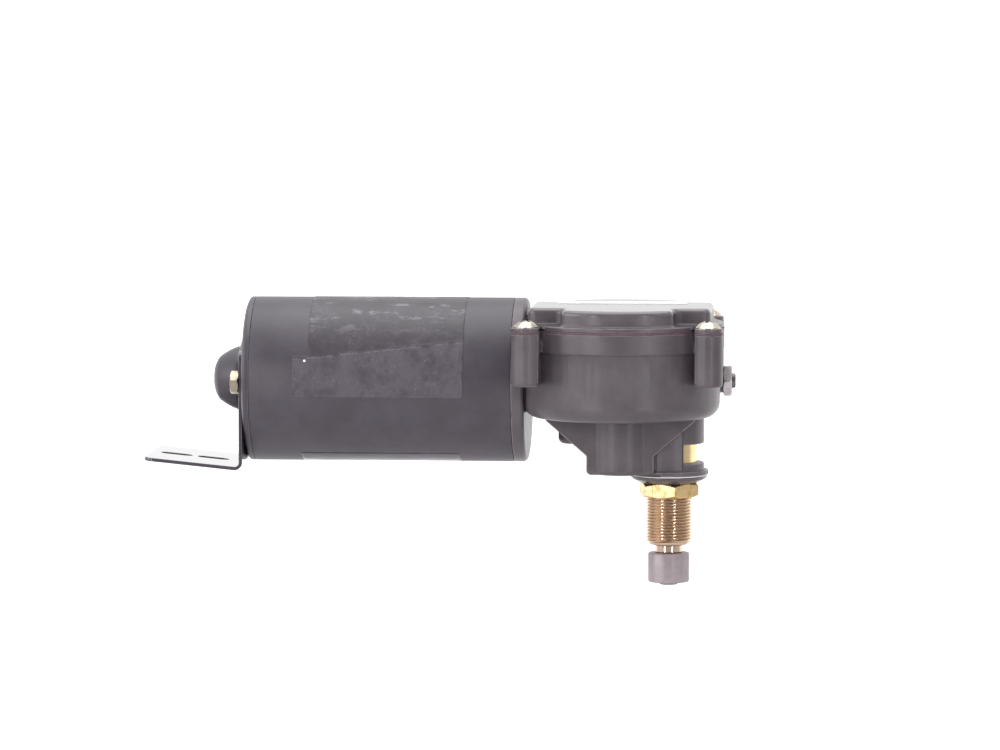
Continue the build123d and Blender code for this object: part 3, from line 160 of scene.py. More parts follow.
# ---------------------------------------------------------------- shader nodes
class Wire:
    """A shader socket. Python's operators on it add Math nodes, and node() adds any other node."""

    def __init__(self, tree, socket):
        self.tree, self.socket = tree, socket

    def node(self, kind, settings=None, inputs=None, output=0):
        """Adds a node with its settings and inputs, and gives one of its outputs."""
        made = self.tree.nodes.new(kind)
        for name, value in (settings or {}).items():
            setattr(made, name, value)
        for name, value in (inputs or {}).items():
            if isinstance(value, Wire):
                self.tree.links.new(value.socket, made.inputs[name])
            else:
                made.inputs[name].default_value = value
        return Wire(self.tree, made.outputs[output]) if made.outputs else None

    def math(self, operation, *values):
        return self.node("ShaderNodeMath", {"operation": operation}, dict(enumerate(values)))

    def __add__(self, other):
        return self.math("ADD", self, other)

    def __sub__(self, other):
        return self.math("SUBTRACT", self, other)

    def __rsub__(self, other):
        return self.math("SUBTRACT", other, self)

    def __mul__(self, other):
        return self.math("MULTIPLY", self, other)

    __radd__, __rmul__ = __add__, __mul__

    def __abs__(self):
        return self.math("ABSOLUTE", self)

    def most(self, other):
        return self.math("MAXIMUM", self, other)

    def least(self, other):
        return self.math("MINIMUM", self, other)

    def smooth(self, start, end):
        """0 below start, 1 above end, with a soft step between."""
        return self.node(
            "ShaderNodeMapRange",
            {"interpolation_type": "SMOOTHSTEP"},
            {"Value": self, "From Min": start, "From Max": end},
        )

    def noise(self, scale, detail=3.0, roughness=0.5):
        inputs = {"Vector": self, "Scale": scale, "Detail": detail, "Roughness": roughness}
        return self.node("ShaderNodeTexNoise", None, inputs)

    def stretch(self, x, y, z):
        return self.node("ShaderNodeVectorMath", {"operation": "MULTIPLY"}, {0: self, 1: (x, y, z)})

    def vector(self, operation, other=(0, 0, 0)):
        """A number out of a vector: its length, or its dot product with another."""
        return self.node("ShaderNodeVectorMath", {"operation": operation}, {0: self, 1: other}, "Value")

    def axis(self, name):
        return self.node("ShaderNodeSeparateXYZ", None, {0: self}, output="XYZ".index(name))

    def mix(self, first, second):
        """Colour between two, by this value."""
        return self.node("ShaderNodeMix", {"data_type": "RGBA"}, {0: self, 6: first, 7: second}, output=2)

    def tones(self, rgb, first, second):
        """One colour at a strength between two, by this value."""
        return self.mix(shade(rgb, first), shade(rgb, second))

    def marked(self, name):
        """The number that the mesh's faces hold under a name."""
        return self.node("ShaderNodeAttribute", {"attribute_name": name}, None, "Fac")

    def bump(self, distance):
        return self.node("ShaderNodeBump", None, {"Height": self, "Distance": distance})


def shade(rgb, factor=1.0):
    """The colour made darker or lighter, with alpha 1."""
    return tuple(min(1.0, part * factor) for part in rgb[:3]) + (1.0,)


def finish(name, build):
    """A node material. build gets the Object coordinates, and gives the shader's inputs."""
    made = bpy.data.materials.new(name)
    made.use_nodes = True
    tree = made.node_tree
    tree.nodes.clear()
    place = Wire(tree, tree.nodes.new("ShaderNodeTexCoord").outputs["Object"])
    shader = place.node("ShaderNodeBsdfPrincipled", None, build(place))
    place.node("ShaderNodeOutputMaterial", None, {"Surface": shader})
    return made


def enamel(name, rgb, roughness, grain, grain_scale, coat=0.0, glossy_from=None, worn=False):
    """Satin black enamel with an uneven skin, faint clouding and dust.

    worn paints the bevels paler, partly as rubbed paint and partly as painted edge highlights, and
    glossy_from is the height from which the paint lies thick enough to shine.
    """

    def build(place):
        clouds = place.noise(70.0, 5.0, 0.6)
        skin = place.noise(grain_scale, 3.0, 0.55)
        pits = place.noise(2600.0, 2.0)
        dust = place.noise(5200.0, 1.0).smooth(0.70, 0.76) * place.noise(240.0).smooth(0.5, 0.7)
        base = clouds.smooth(0.3, 0.7).tones(rgb, 0.86, 1.16)
        base = dust.mix(base, shade(rgb, 3.0))
        rubbed_and_edge_highlight = 0.0
        if worn:
            # Pale bevels: partly rubbed paint, partly painted edge highlights.
            rubbed_and_edge_highlight = place.marked("bevelled") * place.noise(300.0, 4.0, 0.6).smooth(0.25, 0.6)
            base = (0.55 * rubbed_and_edge_highlight).mix(base, shade(rgb, 3.0))
        shine = coat
        if glossy_from is not None:
            shine = coat * place.axis("Z").smooth(glossy_from, glossy_from + 0.6 * MM)
        matt = 0.16 * (clouds - 0.5) + 0.10 * (pits - 0.5) + 0.2 * dust - 0.08 * rubbed_and_edge_highlight
        return {
            "Base Color": base,
            "Roughness": roughness + matt,
            "Normal": (skin + 0.35 * pits).bump(grain),
            "Specular IOR Level": 0.5,
            "Coat Weight": shine,
        }

    return finish(name, build)


def metal(name, rgb, roughness, streak=(1, 1, 1), scale=600.0, tarnish=0.75, sunk=False):
    """Bare or plated metal with machining streaks and patches of tarnish.

    sunk paints shade on the faces that sink() has cut: painted shade in the recesses.
    """

    def build(place):
        lines = place.stretch(*streak).noise(scale, 4.0, 0.6)
        patches = place.noise(160.0, 5.0, 0.6).smooth(0.42, 0.68)
        specks = place.noise(1700.0, 2.0).smooth(0.66, 0.74)
        base, painted_recess_shade = (patches * 0.7 + specks * 0.5).tones(rgb, 1.0, tarnish), 0.0
        if sunk:
            # Painted shade on the recess faces.
            painted_recess_shade = place.marked("sunk")
            base = painted_recess_shade.mix(base, shade(rgb, 0.1))
        return {
            "Base Color": base,
            "Metallic": 1.0,
            "Roughness": roughness + 0.22 * (lines - 0.5) + 0.14 * patches + 0.3 * painted_recess_shade,
            "Normal": lines.bump(0.00001),
        }

    return finish(name, build)


def plain(name, rgb, roughness, scale, depth=0.00003, spread=0.15, metallic=0.0):
    """Moulded, pressed or sintered stuff with a mottled colour and a fine tooth."""

    def build(place):
        mottle = place.noise(scale * 0.3, 5.0, 0.6)
        tooth = place.noise(scale * 2.5, 3.0, 0.6)
        return {
            "Base Color": mottle.smooth(0.3, 0.7).tones(rgb, 1 - spread, 1 + spread),
            "Metallic": metallic,
            "Roughness": roughness + 0.2 * (mottle - 0.5) + 0.12 * (tooth - 0.5),
            "Normal": tooth.bump(depth),
        }

    return finish(name, build)


def striped(name, rgb, dark, axis, pitch, roughness, metallic, depth):
    """Stacked sheets or wound wire: lines at a pitch along one axis."""

    def build(place):
        across = place.axis(axis) * (2 * math.pi / pitch) + place.noise(130.0) * 2.0
        ridge = across.math("SINE", across) * 0.5 + 0.5
        mottle = place.noise(420.0, 4.0, 0.6)
        return {
            "Base Color": (ridge * 0.75 + mottle * 0.25).mix(shade(dark), shade(rgb)),
            "Metallic": metallic,
            "Roughness": roughness + 0.2 * (mottle - 0.5),
            "Normal": (ridge + mottle * 0.3).bump(depth),
        }

    return finish(name, build)


# ---------------------------------------------------------------- mesh helpers
def along_motor(x):
    """Turns a shape built up along Z on to the motor's axis, with its foot at x."""
    centre = middle("motor_can")
    return Matrix.Translation((x, centre.y, centre.z)) @ Matrix.Rotation(math.radians(90), 4, "Y")


def sweep(bm, geom, steps, angle=2 * math.pi, rise=0.0, merge=True):
    """Sweeps geom round Z, and up by rise at each step."""
    bmesh.ops.spin(
        bm,
        geom=geom,
        cent=(0, 0, 0),
        axis=(0, 0, 1),
        dvec=(0, 0, rise),
        angle=angle,
        steps=steps,
        use_merge=merge,
        use_duplicate=False,
    )


def spun(bm, profile, steps=96, close=True):
    """Adds to bm what (radius, height) points sweep in one turn round Z."""
    corners = [bm.verts.new((radius, 0, height)) for radius, height in profile]
    ring = corners + corners[:1] if close else corners
    edges = [bm.edges.new(pair) for pair in zip(ring, ring[1:])]
    sweep(bm, corners + edges, steps)


def tidied(bm):
    """Closes the seams that a turn leaves, and faces everything outwards."""
    bmesh.ops.remove_doubles(bm, verts=bm.verts, dist=1e-6)
    bmesh.ops.dissolve_degenerate(bm, edges=bm.edges, dist=1e-7)
    bmesh.ops.recalc_face_normals(bm, faces=bm.faces)
    return bm


def draw_in(vert, ratio):
    """Moves a corner towards Z."""
    vert.co.x *= ratio
    vert.co.y *= ratio


def pull_to_flats(bm, sides, across_flats, inner):
    """Draws a turned blank in to a prism with that many flats, so its cone becomes curved chamfers."""
    step = 2 * math.pi / sides
    for vert in bm.verts:
        radius = math.hypot(vert.co.x, vert.co.y)
        if radius <= inner:
            continue
        turn = math.atan2(vert.co.y, vert.co.x) % step - step / 2
        flat = across_flats / 2 / math.cos(turn)
        if radius > flat:
            draw_in(vert, flat / radius)


def hex_nut(across_flats, height, bore, rows=5):
    """A nut on Z from 0 to height, with both faces chamfered from just inside the flats."""
    corner = across_flats / math.sqrt(3) * 1.001
    start = across_flats / 2 * 0.97
    fall = (corner - start) * math.tan(math.radians(NUT_CHAMFER))
    foot = [(start + (corner - start) * i / rows, fall * i / rows) for i in range(rows + 1)]
    head = [(radius, height - rise) for radius, rise in reversed(foot)]
    bevel = 0.04 * across_flats
    mouth_foot = [(bore, bevel), (bore + bevel, 0)]
    mouth_head = [(bore + bevel, height), (bore, height - bevel)]
    bm = bmesh.new()
    spun(bm, mouth_foot + foot + head + mouth_head, steps=120)
    pull_to_flats(bm, 6, across_flats, bore + 2 * bevel)
    return tidied(bm)


def slice_at(bm, spot, normal, dist):
    """Cuts each face that a plane meets, and keeps both sides."""
    everything = bm.verts[:] + bm.edges[:] + bm.faces[:]
    bmesh.ops.bisect_plane(bm, geom=everything, dist=dist, plane_co=spot, plane_no=normal)


def sink(bm, top, arms, depth, taper):
    """Sinks a slot or a cross into the end at height top, and marks its faces.

    Each arm is its half width in X and its half length in Y.
    """
    for half, reach in arms:
        for normal in (Vector((1, 0, 0)), Vector((0, 1, 0))):
            for offset in (-half, half, -reach, reach):
                slice_at(bm, normal * offset, normal, 1e-7)
    # The marked faces take painted shade where a material asks for it.
    mark = bm.faces.layers.float.new("sunk")
    inside = []
    for face in bm.faces:
        spot = face.calc_center_median()
        if spot.z > top - 1.2 * depth and face.normal.z > 0.2:
            if any(abs(spot.x) < half and abs(spot.y) < reach for half, reach in arms):
                inside.append(face)
    sunk = bmesh.ops.extrude_face_region(bm, geom=inside)
    bmesh.ops.delete(bm, geom=inside, context="FACES")
    floor = [part for part in sunk["geom"] if isinstance(part, bmesh.types.BMVert)]
    for vert in floor:
        vert.co = (vert.co.x * taper, vert.co.y * taper, top - depth)
        for face in vert.link_faces:
            face[mark] = 1.0


def as_mesh(name, bm):
    """The mesh that bm has drawn up. bm is freed."""
    mesh = bpy.data.meshes.new(name)
    bm.to_mesh(mesh)
    bm.free()
    return mesh


def gather(whole, bm):
    """Adds one of several alike shapes to the piece that they make."""
    mesh = as_mesh("part", bm)
    whole.from_mesh(mesh)
    bpy.data.meshes.remove(mesh)


def put(name, data):
    """A new object in the scene."""
    thing = bpy.data.objects.new(name, data)
    bpy.context.collection.objects.link(thing)
    return thing


def piece(name, bm, body, material, slot, *nodes, sharp=32.0):
    """A finished piece from bm, which rides on body and stands for the CAD nodes."""
    mesh = as_mesh(name, bm)
    thing = put(name, mesh)
    mesh.materials.append(material)
    mesh.shade_smooth()
    mesh.set_sharp_from_angle(angle=math.radians(sharp))
    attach(thing, body)
    if nodes:
        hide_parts(*nodes)
    return thing


# ---------------------------------------------------------------- operators
class WIPER_OT_finishes(bpy.types.Operator):
    """Give every CAD node its finish"""

    bl_idname = "wiper.finishes"
    bl_label = "Finishes"

    def execute(self, context):
        tone = context.scene.wiper_colours
        cast = enamel("cast_enamel", tone.paint, 0.37, 0.000045, 750.0)
        can = enamel("can_enamel", tone.paint_can, 0.33, 0.000015, 1100.0)
        steel = metal("ground_steel", (0.56, 0.56, 0.57), 0.25, (1, 8, 8))
        cut = metal("cut_steel", (0.42, 0.42, 0.43), 0.32, (6, 6, 1))
        brass = metal("sheet_brass", tone.brass, 0.3)
        bronze = plain("sintered_bronze", (0.52, 0.34, 0.17), 0.42, 700.0, metallic=1.0)
        nickel = metal("dull_nickel", (0.66, 0.61, 0.52), 0.27, (2, 2, 6))
        by_slot = {
            "black_paint": cast,
            "black_paint_worn": can,
            "gasket_red": plain("gasket_sheet", tone.gasket, 0.62, 900.0),
            "nickel": nickel,
            "label_plate": plain("blank_plate", (0.86, 0.82, 0.82), 0.42, 300.0, 0.000008, 0.03),
            "brass": brass,
            "bronze": bronze,
            "rubber_black": plain("moulded_rubber", (0.028, 0.026, 0.029), 0.5, 800.0),
            "driver_grey": plain("sintered_driver", tone.driver, 0.5, 800.0, 0.00003, 0.08, 0.35),
            "steel": steel,
            "gear_steel": cut,
            "gear_plastic": plain("gear_plastic", (0.74, 0.71, 0.61), 0.42, 250.0, 0.00001, 0.06),
            "lamination": striped(
                "core_sheets", (0.34, 0.33, 0.32), (0.12, 0.10, 0.09), "X", 0.0005, 0.45, 0.8, 0.00006
            ),
            "copper": striped(
                "copper_wire", (0.62, 0.25, 0.12), (0.28, 0.09, 0.04), "Z", 0.0008, 0.3, 0.9, 0.00015
            ),
            "ferrite": plain("sintered_ferrite", (0.075, 0.075, 0.08), 0.6, 600.0),
            "board": plain("pressed_board", (0.26, 0.13, 0.06), 0.55, 260.0, 0.00003, 0.22),
            "carbon": plain("brush_carbon", (0.03, 0.03, 0.032), 0.4, 900.0),
        }
        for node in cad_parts.values():
            for slot in node.material_slots:
                slot.material = by_slot[slot.material.name.split(".")[0]]
        dull = plain("shaft_steel", shade(tone.driver, 0.9), 0.4, 900.0, 0.00001, 0.08, 0.8)
        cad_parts["output_shaft"].material_slots[0].material = dull
        rim, lip = high("spindle_washer").x, high("spindle_washer").z

        def wet(place):
            square = place.axis("X") * place.axis("X") + place.axis("Y") * place.axis("Y")
            edge = square.smooth((rim - 0.9 * MM) ** 2, (rim - 0.5 * MM) ** 2)
            # A pale line along the washer's upper rim is a painted highlight.
            painted_lip_highlight = edge * place.axis("Z").smooth(lip - 0.45 * MM, lip - 0.25 * MM)
            return {
                "Base Color": painted_lip_highlight.mix(shade(tone.paint, 0.9), (0.72, 0.69, 0.70, 1)),
                "Roughness": 0.15 + 0.1 * place.noise(900.0, 3.0),
                "Normal": place.noise(900.0, 3.0).bump(0.00001),
            }

        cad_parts["spindle_washer"].material_slots[0].material = finish("washer_enamel", wet)
        return {"FINISHED"}


class WIPER_OT_castings(bpy.types.Operator):
    """Round the edges of the case, cover, end cap and bracket"""

    bl_idname = "wiper.castings"
    bl_label = "Rounded castings"

    def swell_dome(self, bm):
        """Swells the cap's bearing dome from a cone to a rounded bell."""
        tip, face = low("motor_end_cap").x, high("mounting_bracket").x
        centre, slices, swell = middle("motor_can"), 9, 1.4 * MM
        inner, full, outer = 5 * MM, 8.3 * MM, 13 * MM
        for step in range(1, slices):
            slice_at(bm, (tip + (face - tip) * step / slices, 0, 0), (1, 0, 0), 1e-6)
        for vert in bm.verts:
            along = (vert.co.x - tip) / (face - tip)
            out = Vector((0, vert.co.y - centre.y, vert.co.z - centre.z))
            if 0 < along < 1 and inner < out.length < outer:
                share = min(1.0, (out.length - inner) / (full - inner))
                vert.co += out.normalized() * swell * share * math.sin(math.pi * along)

    def narrow(self, edge, width):
        """Tells whether a face beside the edge is too narrow to give up a bevel on both its sides."""
        for face in edge.link_faces:
            if len(face.verts) > STRIP_CORNERS:
                across = 2 * face.calc_area() / face.calc_perimeter()
            else:
                across = face.calc_area() / edge.calc_length()
            if across < 2.1 * width:
                return True
        return False

    def bevel(self, sharp, chosen, skin, width):
        """Bevels edges of a copy.

        Gives the copy, its new faces, and the corners where those fold over or leave the skin.
        """
        bm = sharp.copy()
        bm.edges.ensure_lookup_table()
        corners = [bm.edges[index] for index in chosen]
        ends = {vert.index: vert.co.copy() for edge in corners for vert in edge.verts}
        tree = KDTree(len(ends))
        for index, co in ends.items():
            tree.insert(co, index)
        tree.balance()
        made = bmesh.ops.bevel(
            bm,
            geom=corners,
            offset=width,
            offset_type="OFFSET",
            segments=2,
            profile=0.5,
            affect="EDGES",
            clamp_overlap=False,
            material=-1,
        )
        bm.normal_update()
        nearest = [tree.find(vert.co) for vert in made["verts"]]
        lost = {index for _, index, gap in nearest if gap > 3 * width}
        for face in made["faces"]:
            centre = face.calc_center_median()
            _, normal, _, gap = skin.find_nearest(centre)
            if gap > 0.7 * width or normal.dot(face.normal) < 0:
                lost.add(tree.find(centre)[1])
        return bm, made["faces"], lost

    def rounded(self, sharp, width):
        """Bevels the corners, and leaves sharp each one that a bevel would spoil."""
        skin = BVHTree.FromBMesh(sharp)
        sharp.faces.layers.float.new("bevelled")
        sharp.edges.index_update()
        sharp.verts.index_update()
        sharp.verts.ensure_lookup_table()
        chosen = {
            edge.index
            for edge in sharp.edges
            if edge.is_manifold and edge.calc_face_angle(0) > SHARP_CORNER and not self.narrow(edge, width)
        }
        bm, made, lost = self.bevel(sharp, chosen, skin, width)
        for _ in range(BEVEL_TRIES - 1):
            if not lost:
                break
            bm.free()
            chosen -= {edge.index for index in lost for edge in sharp.verts[index].link_edges}
            bm, made, lost = self.bevel(sharp, chosen, skin, width)
        sharp.free()
        # A corner that the bevel still throws outside the casting goes back to its surface.
        for vert in bm.verts:
            spot, _, _, gap = skin.find_nearest(vert.co)
            if gap > 0.8 * width:
                vert.co = spot
        # Only outside edges are painted pale: rubbed paint and painted edge highlights.
        mark = bm.faces.layers.float["bevelled"]
        for face in made:
            turns = [edge for edge in face.edges if edge.is_manifold and edge.calc_face_angle(0) > 0.1]
            face[mark] = float(sum(1 if edge.is_convex else -1 for edge in turns) > 0)
        return bm

    def execute(self, context):
        tone = context.scene.wiper_colours
        cast = enamel("case_enamel", tone.paint, 0.35, 0.00005, 750.0, worn=True)
        gloss_z = high("gear_case_cover").z - 2.2 * MM
        lid = enamel("cover_enamel", tone.paint, 0.30, 0.00002, 800.0, 0.6, gloss_z, worn=True)
        cap = enamel("cap_enamel", tone.paint_can, 0.38, 0.00002, 950.0, worn=True)
        plate = enamel("bracket_enamel", tone.paint_can, 0.08, 0.000002, 950.0, 1.0)
        for node, name, made, width in (
            ("gear_case", "cast_gear_case", cast, 0.45 * MM),
            ("gear_case_cover", "pressed_cover", lid, 0.35 * MM),
            ("motor_end_cap", "domed_end_cap", cap, 0.3 * MM),
            ("mounting_bracket", "bent_bracket", plate, 0.3 * MM),
        ):
            bm = bmesh.new()
            bm.from_mesh(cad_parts[node].data)
            bmesh.ops.remove_doubles(bm, verts=bm.verts, dist=2e-6)
            bmesh.ops.dissolve_degenerate(bm, edges=bm.edges, dist=2e-6)
            bmesh.ops.dissolve_limit(
                bm, angle_limit=math.radians(0.6), verts=bm.verts, edges=bm.edges, delimit={"NORMAL"}
            )
            if node == "motor_end_cap":
                self.swell_dome(bm)
            bm = self.rounded(bm, width)
            thing = piece(name, bm, "housing", made, "black_paint", node, sharp=180)
            even = thing.modifiers.new("Even normals", "WEIGHTED_NORMAL")
            even.mode, even.weight, even.keep_sharp = "FACE_AREA", 100, False
        return {"FINISHED"}


class WIPER_OT_bush(bpy.types.Operator):
    """Turn the spindle bush and cut its thread"""

    bl_idname = "wiper.bush"
    bl_label = "Spindle bush"

    def execute(self, context):
        size = context.scene.wiper_spindle
        tone = context.scene.wiper_colours
        foot, top = low("spindle_bush").z, high("spindle_bush").z
        body, crest = high("spindle_bush").x, THREAD_CREST
        root = crest - size.thread_depth
        thread_low = foot + size.neck_run
        shoulder = high("spindle_washer").z
        cone = size.thread_chamfer
        bm = bmesh.new()
        spun(
            bm,
            [
                (size.bore + 0.4 * MM, foot),
                (size.neck_radius - 0.3 * MM, foot),
                (size.neck_radius, foot + 0.3 * MM),
                (size.neck_radius, thread_low - 0.5 * MM),
                (size.neck_radius + 0.5 * MM, thread_low),
                (crest - cone + 0.1 * MM, thread_low),
                (crest - cone + 0.25 * MM, thread_low + 0.15 * MM),
                (root + 0.05 * MM, thread_low + cone * 0.72),
                (root, thread_low + cone),
                (root, shoulder),
                (body - 0.3 * MM, shoulder),
                (body, shoulder + 0.3 * MM),
                (body, top),
                (size.bore, top),
                (size.bore, foot + 0.4 * MM),
            ],
        )
        # A vee ridge winds up into the nut, and its free end is taken down to the cone.
        pitch, start = size.thread_pitch, thread_low + 0.2 * MM
        turns = round((low("spindle_nut").z + 2.5 * MM - start) / pitch)
        vee = (
            (root - 0.15 * MM, 0),
            (root, 0.06),
            (crest, 0.41),
            (crest, 0.59),
            (root, 0.94),
            (root - 0.15 * MM, 1),
        )
        face = bm.faces.new([bm.verts.new((radius, 0, start + share * pitch)) for radius, share in vee])
        steps = 60 * turns
        sweep(bm, [face], steps, 2 * math.pi * turns, pitch * turns / steps, merge=False)
        for vert in bm.verts:
            radius = math.hypot(vert.co.x, vert.co.y)
            limit = crest - cone + max(0.0, vert.co.z - thread_low)
            if vert.co.z < thread_low + cone and radius > max(limit, size.neck_radius + 0.6 * MM):
                draw_in(vert, limit / radius)
        bmesh.ops.recalc_face_normals(bm, faces=bm.faces)
        neck_tone, seat_tone, root_dark_tone = (0.76, 0.58, 0.44), (0.86, 0.68, 0.36), (0.30, 0.12, 0.10)

        def thread_brass(place):
            out = place.stretch(1, 1, 0).vector("LENGTH")
            core = out.smooth(root - 0.9 * MM, root - 0.7 * MM)
            ridge = out.smooth(root + 0.1 * MM, crest - 0.1 * MM)
            patches = place.noise(240.0, 4.0, 0.6)
            threaded = place.axis("Z").smooth(thread_low - 0.2 * MM, thread_low + 0.6 * MM)
            seated = place.axis("Z").smooth(shoulder - 0.2 * MM, shoulder)
            # Darker, redder and rougher in the thread's roots below the shoulder.
            root_darkening = (core - ridge) * (1 - seated)
            tint = threaded.mix(shade(neck_tone), shade(tone.bush))
            tint = seated.mix(tint, shade(seat_tone))
            base = (0.3 * patches.smooth(0.35, 0.7)).mix(tint, shade(tone.bush, 0.6))
            return {
                "Base Color": (0.3 * root_darkening).mix(base, shade(root_dark_tone)),
                "Metallic": 1.0,
                "Roughness": 0.17 + 0.2 * root_darkening + 0.1 * (patches - 0.5),
                "Normal": patches.bump(0.000004),
            }

        made = finish("thread_brass", thread_brass)
        piece("threaded_bush", bm, "housing", made, "brass", "spindle_bush", sharp=40)
        return {"FINISHED"}


class WIPER_OT_spindle_nut(bpy.types.Operator):
    """Make the brass nut on the spindle bush"""

    bl_idname = "wiper.spindle_nut"
    bl_label = "Spindle nut"

    def execute(self, context):
        size = context.scene.wiper_spindle
        tone = context.scene.wiper_colours
        foot, top = low("spindle_nut").z, high("spindle_nut").z
        bm = hex_nut(size.nut_flats, top - foot, NUT_BORE)
        bm.transform(Matrix.Translation((0, 0, foot)) @ Matrix.Rotation(size.nut_turn, 4, "Z"))
        scratch_x = -6.1 * MM

        def nut_brass(place):
            lines = place.stretch(1.5, 1.5, 9).noise(420.0, 4.0, 0.6)
            patches = place.noise(260.0, 5.0, 0.65).smooth(0.46, 0.66)
            across = place.axis("X") + 0.2 * MM * place.noise(400.0) - scratch_x
            front = 1 - place.axis("Y").smooth(-2 * MM, 0.0)
            mark = (1 - abs(across).smooth(0.1 * MM, 0.3 * MM)) * front
            worn = (0.55 * patches + 0.8 * mark).least(1.0)
            return {
                "Base Color": worn.mix(shade(tone.brass), (0.50, 0.31, 0.12, 1)),
                "Metallic": 1.0,
                "Roughness": 0.28 + 0.2 * (lines - 0.5) + 0.12 * patches,
                "Normal": (lines + 0.6 * mark).bump(0.000014),
            }

        made = finish("nut_brass", nut_brass)
        piece("brass_spindle_nut", bm, "housing", made, "brass", "spindle_nut", sharp=25)
        return {"FINISHED"}


class WIPER_OT_driver(bpy.types.Operator):
    """Make the many-sided driver on the shaft's end"""

    bl_idname = "wiper.driver"
    bl_label = "Driver"

    def execute(self, context):
        size = context.scene.wiper_spindle
        tone = context.scene.wiper_colours
        foot, top = low("driver").z, high("driver").z
        radius, edge = high("driver").x, size.driver_edge
        flutes, flute_depth = 12, 0.09 * MM
        rounding = [
            (radius - edge + edge * math.sin(a), foot + edge - edge * math.cos(a))
            for a in (math.radians(15 * i) for i in range(7))
        ]
        shoulder = [
            (radius, top - 0.5 * MM),
            (radius - 0.25 * MM, top - 0.12 * MM),
            (radius - 0.6 * MM, top),
        ]
        bm = bmesh.new()
        spun(bm, [(DRIVER_BORE, foot)] + rounding + shoulder + [(DRIVER_BORE, top)], steps=128)
        # Faint flutes, left by the press.
        for vert in bm.verts:
            out = math.hypot(vert.co.x, vert.co.y)
            if out > radius - edge - 0.3 * MM:
                turn = math.atan2(vert.co.y, vert.co.x)
                pull = flute_depth * (0.5 + 0.5 * math.cos(flutes * turn))
                draw_in(vert, (out - pull) / out)
        made = plain("driver_metal", tone.driver, 0.46, 700.0, 0.00004, 0.10, 0.45)
        piece("fluted_driver", tidied(bm), "output", made, "driver_grey", "driver", sharp=50)
        return {"FINISHED"}


class WIPER_OT_cover_screws(bpy.types.Operator):
    """Make the four cover screws with their cross recesses"""

    bl_idname = "wiper.cover_screws"
    bl_label = "Cover screws"

    def execute(self, context):
        size = context.scene.wiper_motor
        foot, top = low("cover_screws").z, high("cover_screws").z
        seat = high("gear_case_cover").z - SCREW_DROP
        point, brim, rise = 0.5 * MM, 0.35 * MM, top - seat
        half, reach = 0.55 * MM, 2.5 * MM
        shank = [(0, foot), (SCREW_SHANK - point, foot), (SCREW_SHANK, foot + point), (SCREW_SHANK, seat)]
        shares = [1 - step / 7 for step in range(7)]
        dome = [(SCREW_HEAD * share, seat + brim + (rise - brim) * (1 - share**2.4)) for share in shares]
        centre = middle("cover_screws")
        rims = [vert.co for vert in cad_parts["cover_screws"].data.vertices]
        whole = bmesh.new()
        for left in (True, False):
            for near in (True, False):
                own = [at for at in rims if (at.x < centre.x) == left and (at.y < centre.y) == near]
                x = (min(at.x for at in own) + max(at.x for at in own)) / 2
                y = (min(at.y for at in own) + max(at.y for at in own)) / 2
                bm = bmesh.new()
                spun(bm, shank + [(SCREW_HEAD, seat)] + dome + [(0, top)], steps=48, close=False)
                tidied(bm)
                sink(bm, top, ((half, reach), (reach, half)), size.screw_recess, 0.8)
                # Each one stopped at its own angle when it was driven home.
                turn = 0.6 + 31 * (x + y)
                bm.transform(Matrix.Translation((x, y, 0)) @ Matrix.Rotation(turn, 4, "Z"))
                gather(whole, bm)
        # The cross recesses get painted shade.
        made = metal("screw_nickel", (0.60, 0.53, 0.44), 0.2, scale=900.0, tarnish=0.35, sunk=True)
        piece("cross_head_screws", whole, "housing", made, "nickel", "cover_screws", sharp=35)
        return {"FINISHED"}


class WIPER_OT_motor_can(bpy.types.Operator):
    """Draw the motor can with rounded ends"""

    bl_idname = "wiper.motor_can"
    bl_label = "Motor can"

    def execute(self, context):
        size = context.scene.wiper_motor
        tone = context.scene.wiper_colours
        back, front = low("motor_can").x, high("motor_can").x
        radius = (high("motor_can").z - low("motor_can").z) / 2
        inner, edge, run = radius - CAN_WALL, size.can_edge, front - back
        bm = bmesh.new()
        spun(
            bm,
            [
                (inner, 0),
                (radius - edge, 0),
                (radius - 0.3 * edge, 0.3 * edge),
                (radius, edge),
                (radius, run / 3),
                (radius, run * 2 / 3),
                (radius, run - edge),
                (radius - 0.3 * edge, run - 0.3 * edge),
                (radius - edge, run),
                (inner, run),
            ],
            steps=160,
        )
        bm.transform(along_motor(back))
        made = enamel("drawn_can_enamel", tone.paint_can, 0.42, 0.000014, 1100.0)
        piece("drawn_can", tidied(bm), "housing", made, "black_paint_worn", "motor_can")
        return {"FINISHED"}


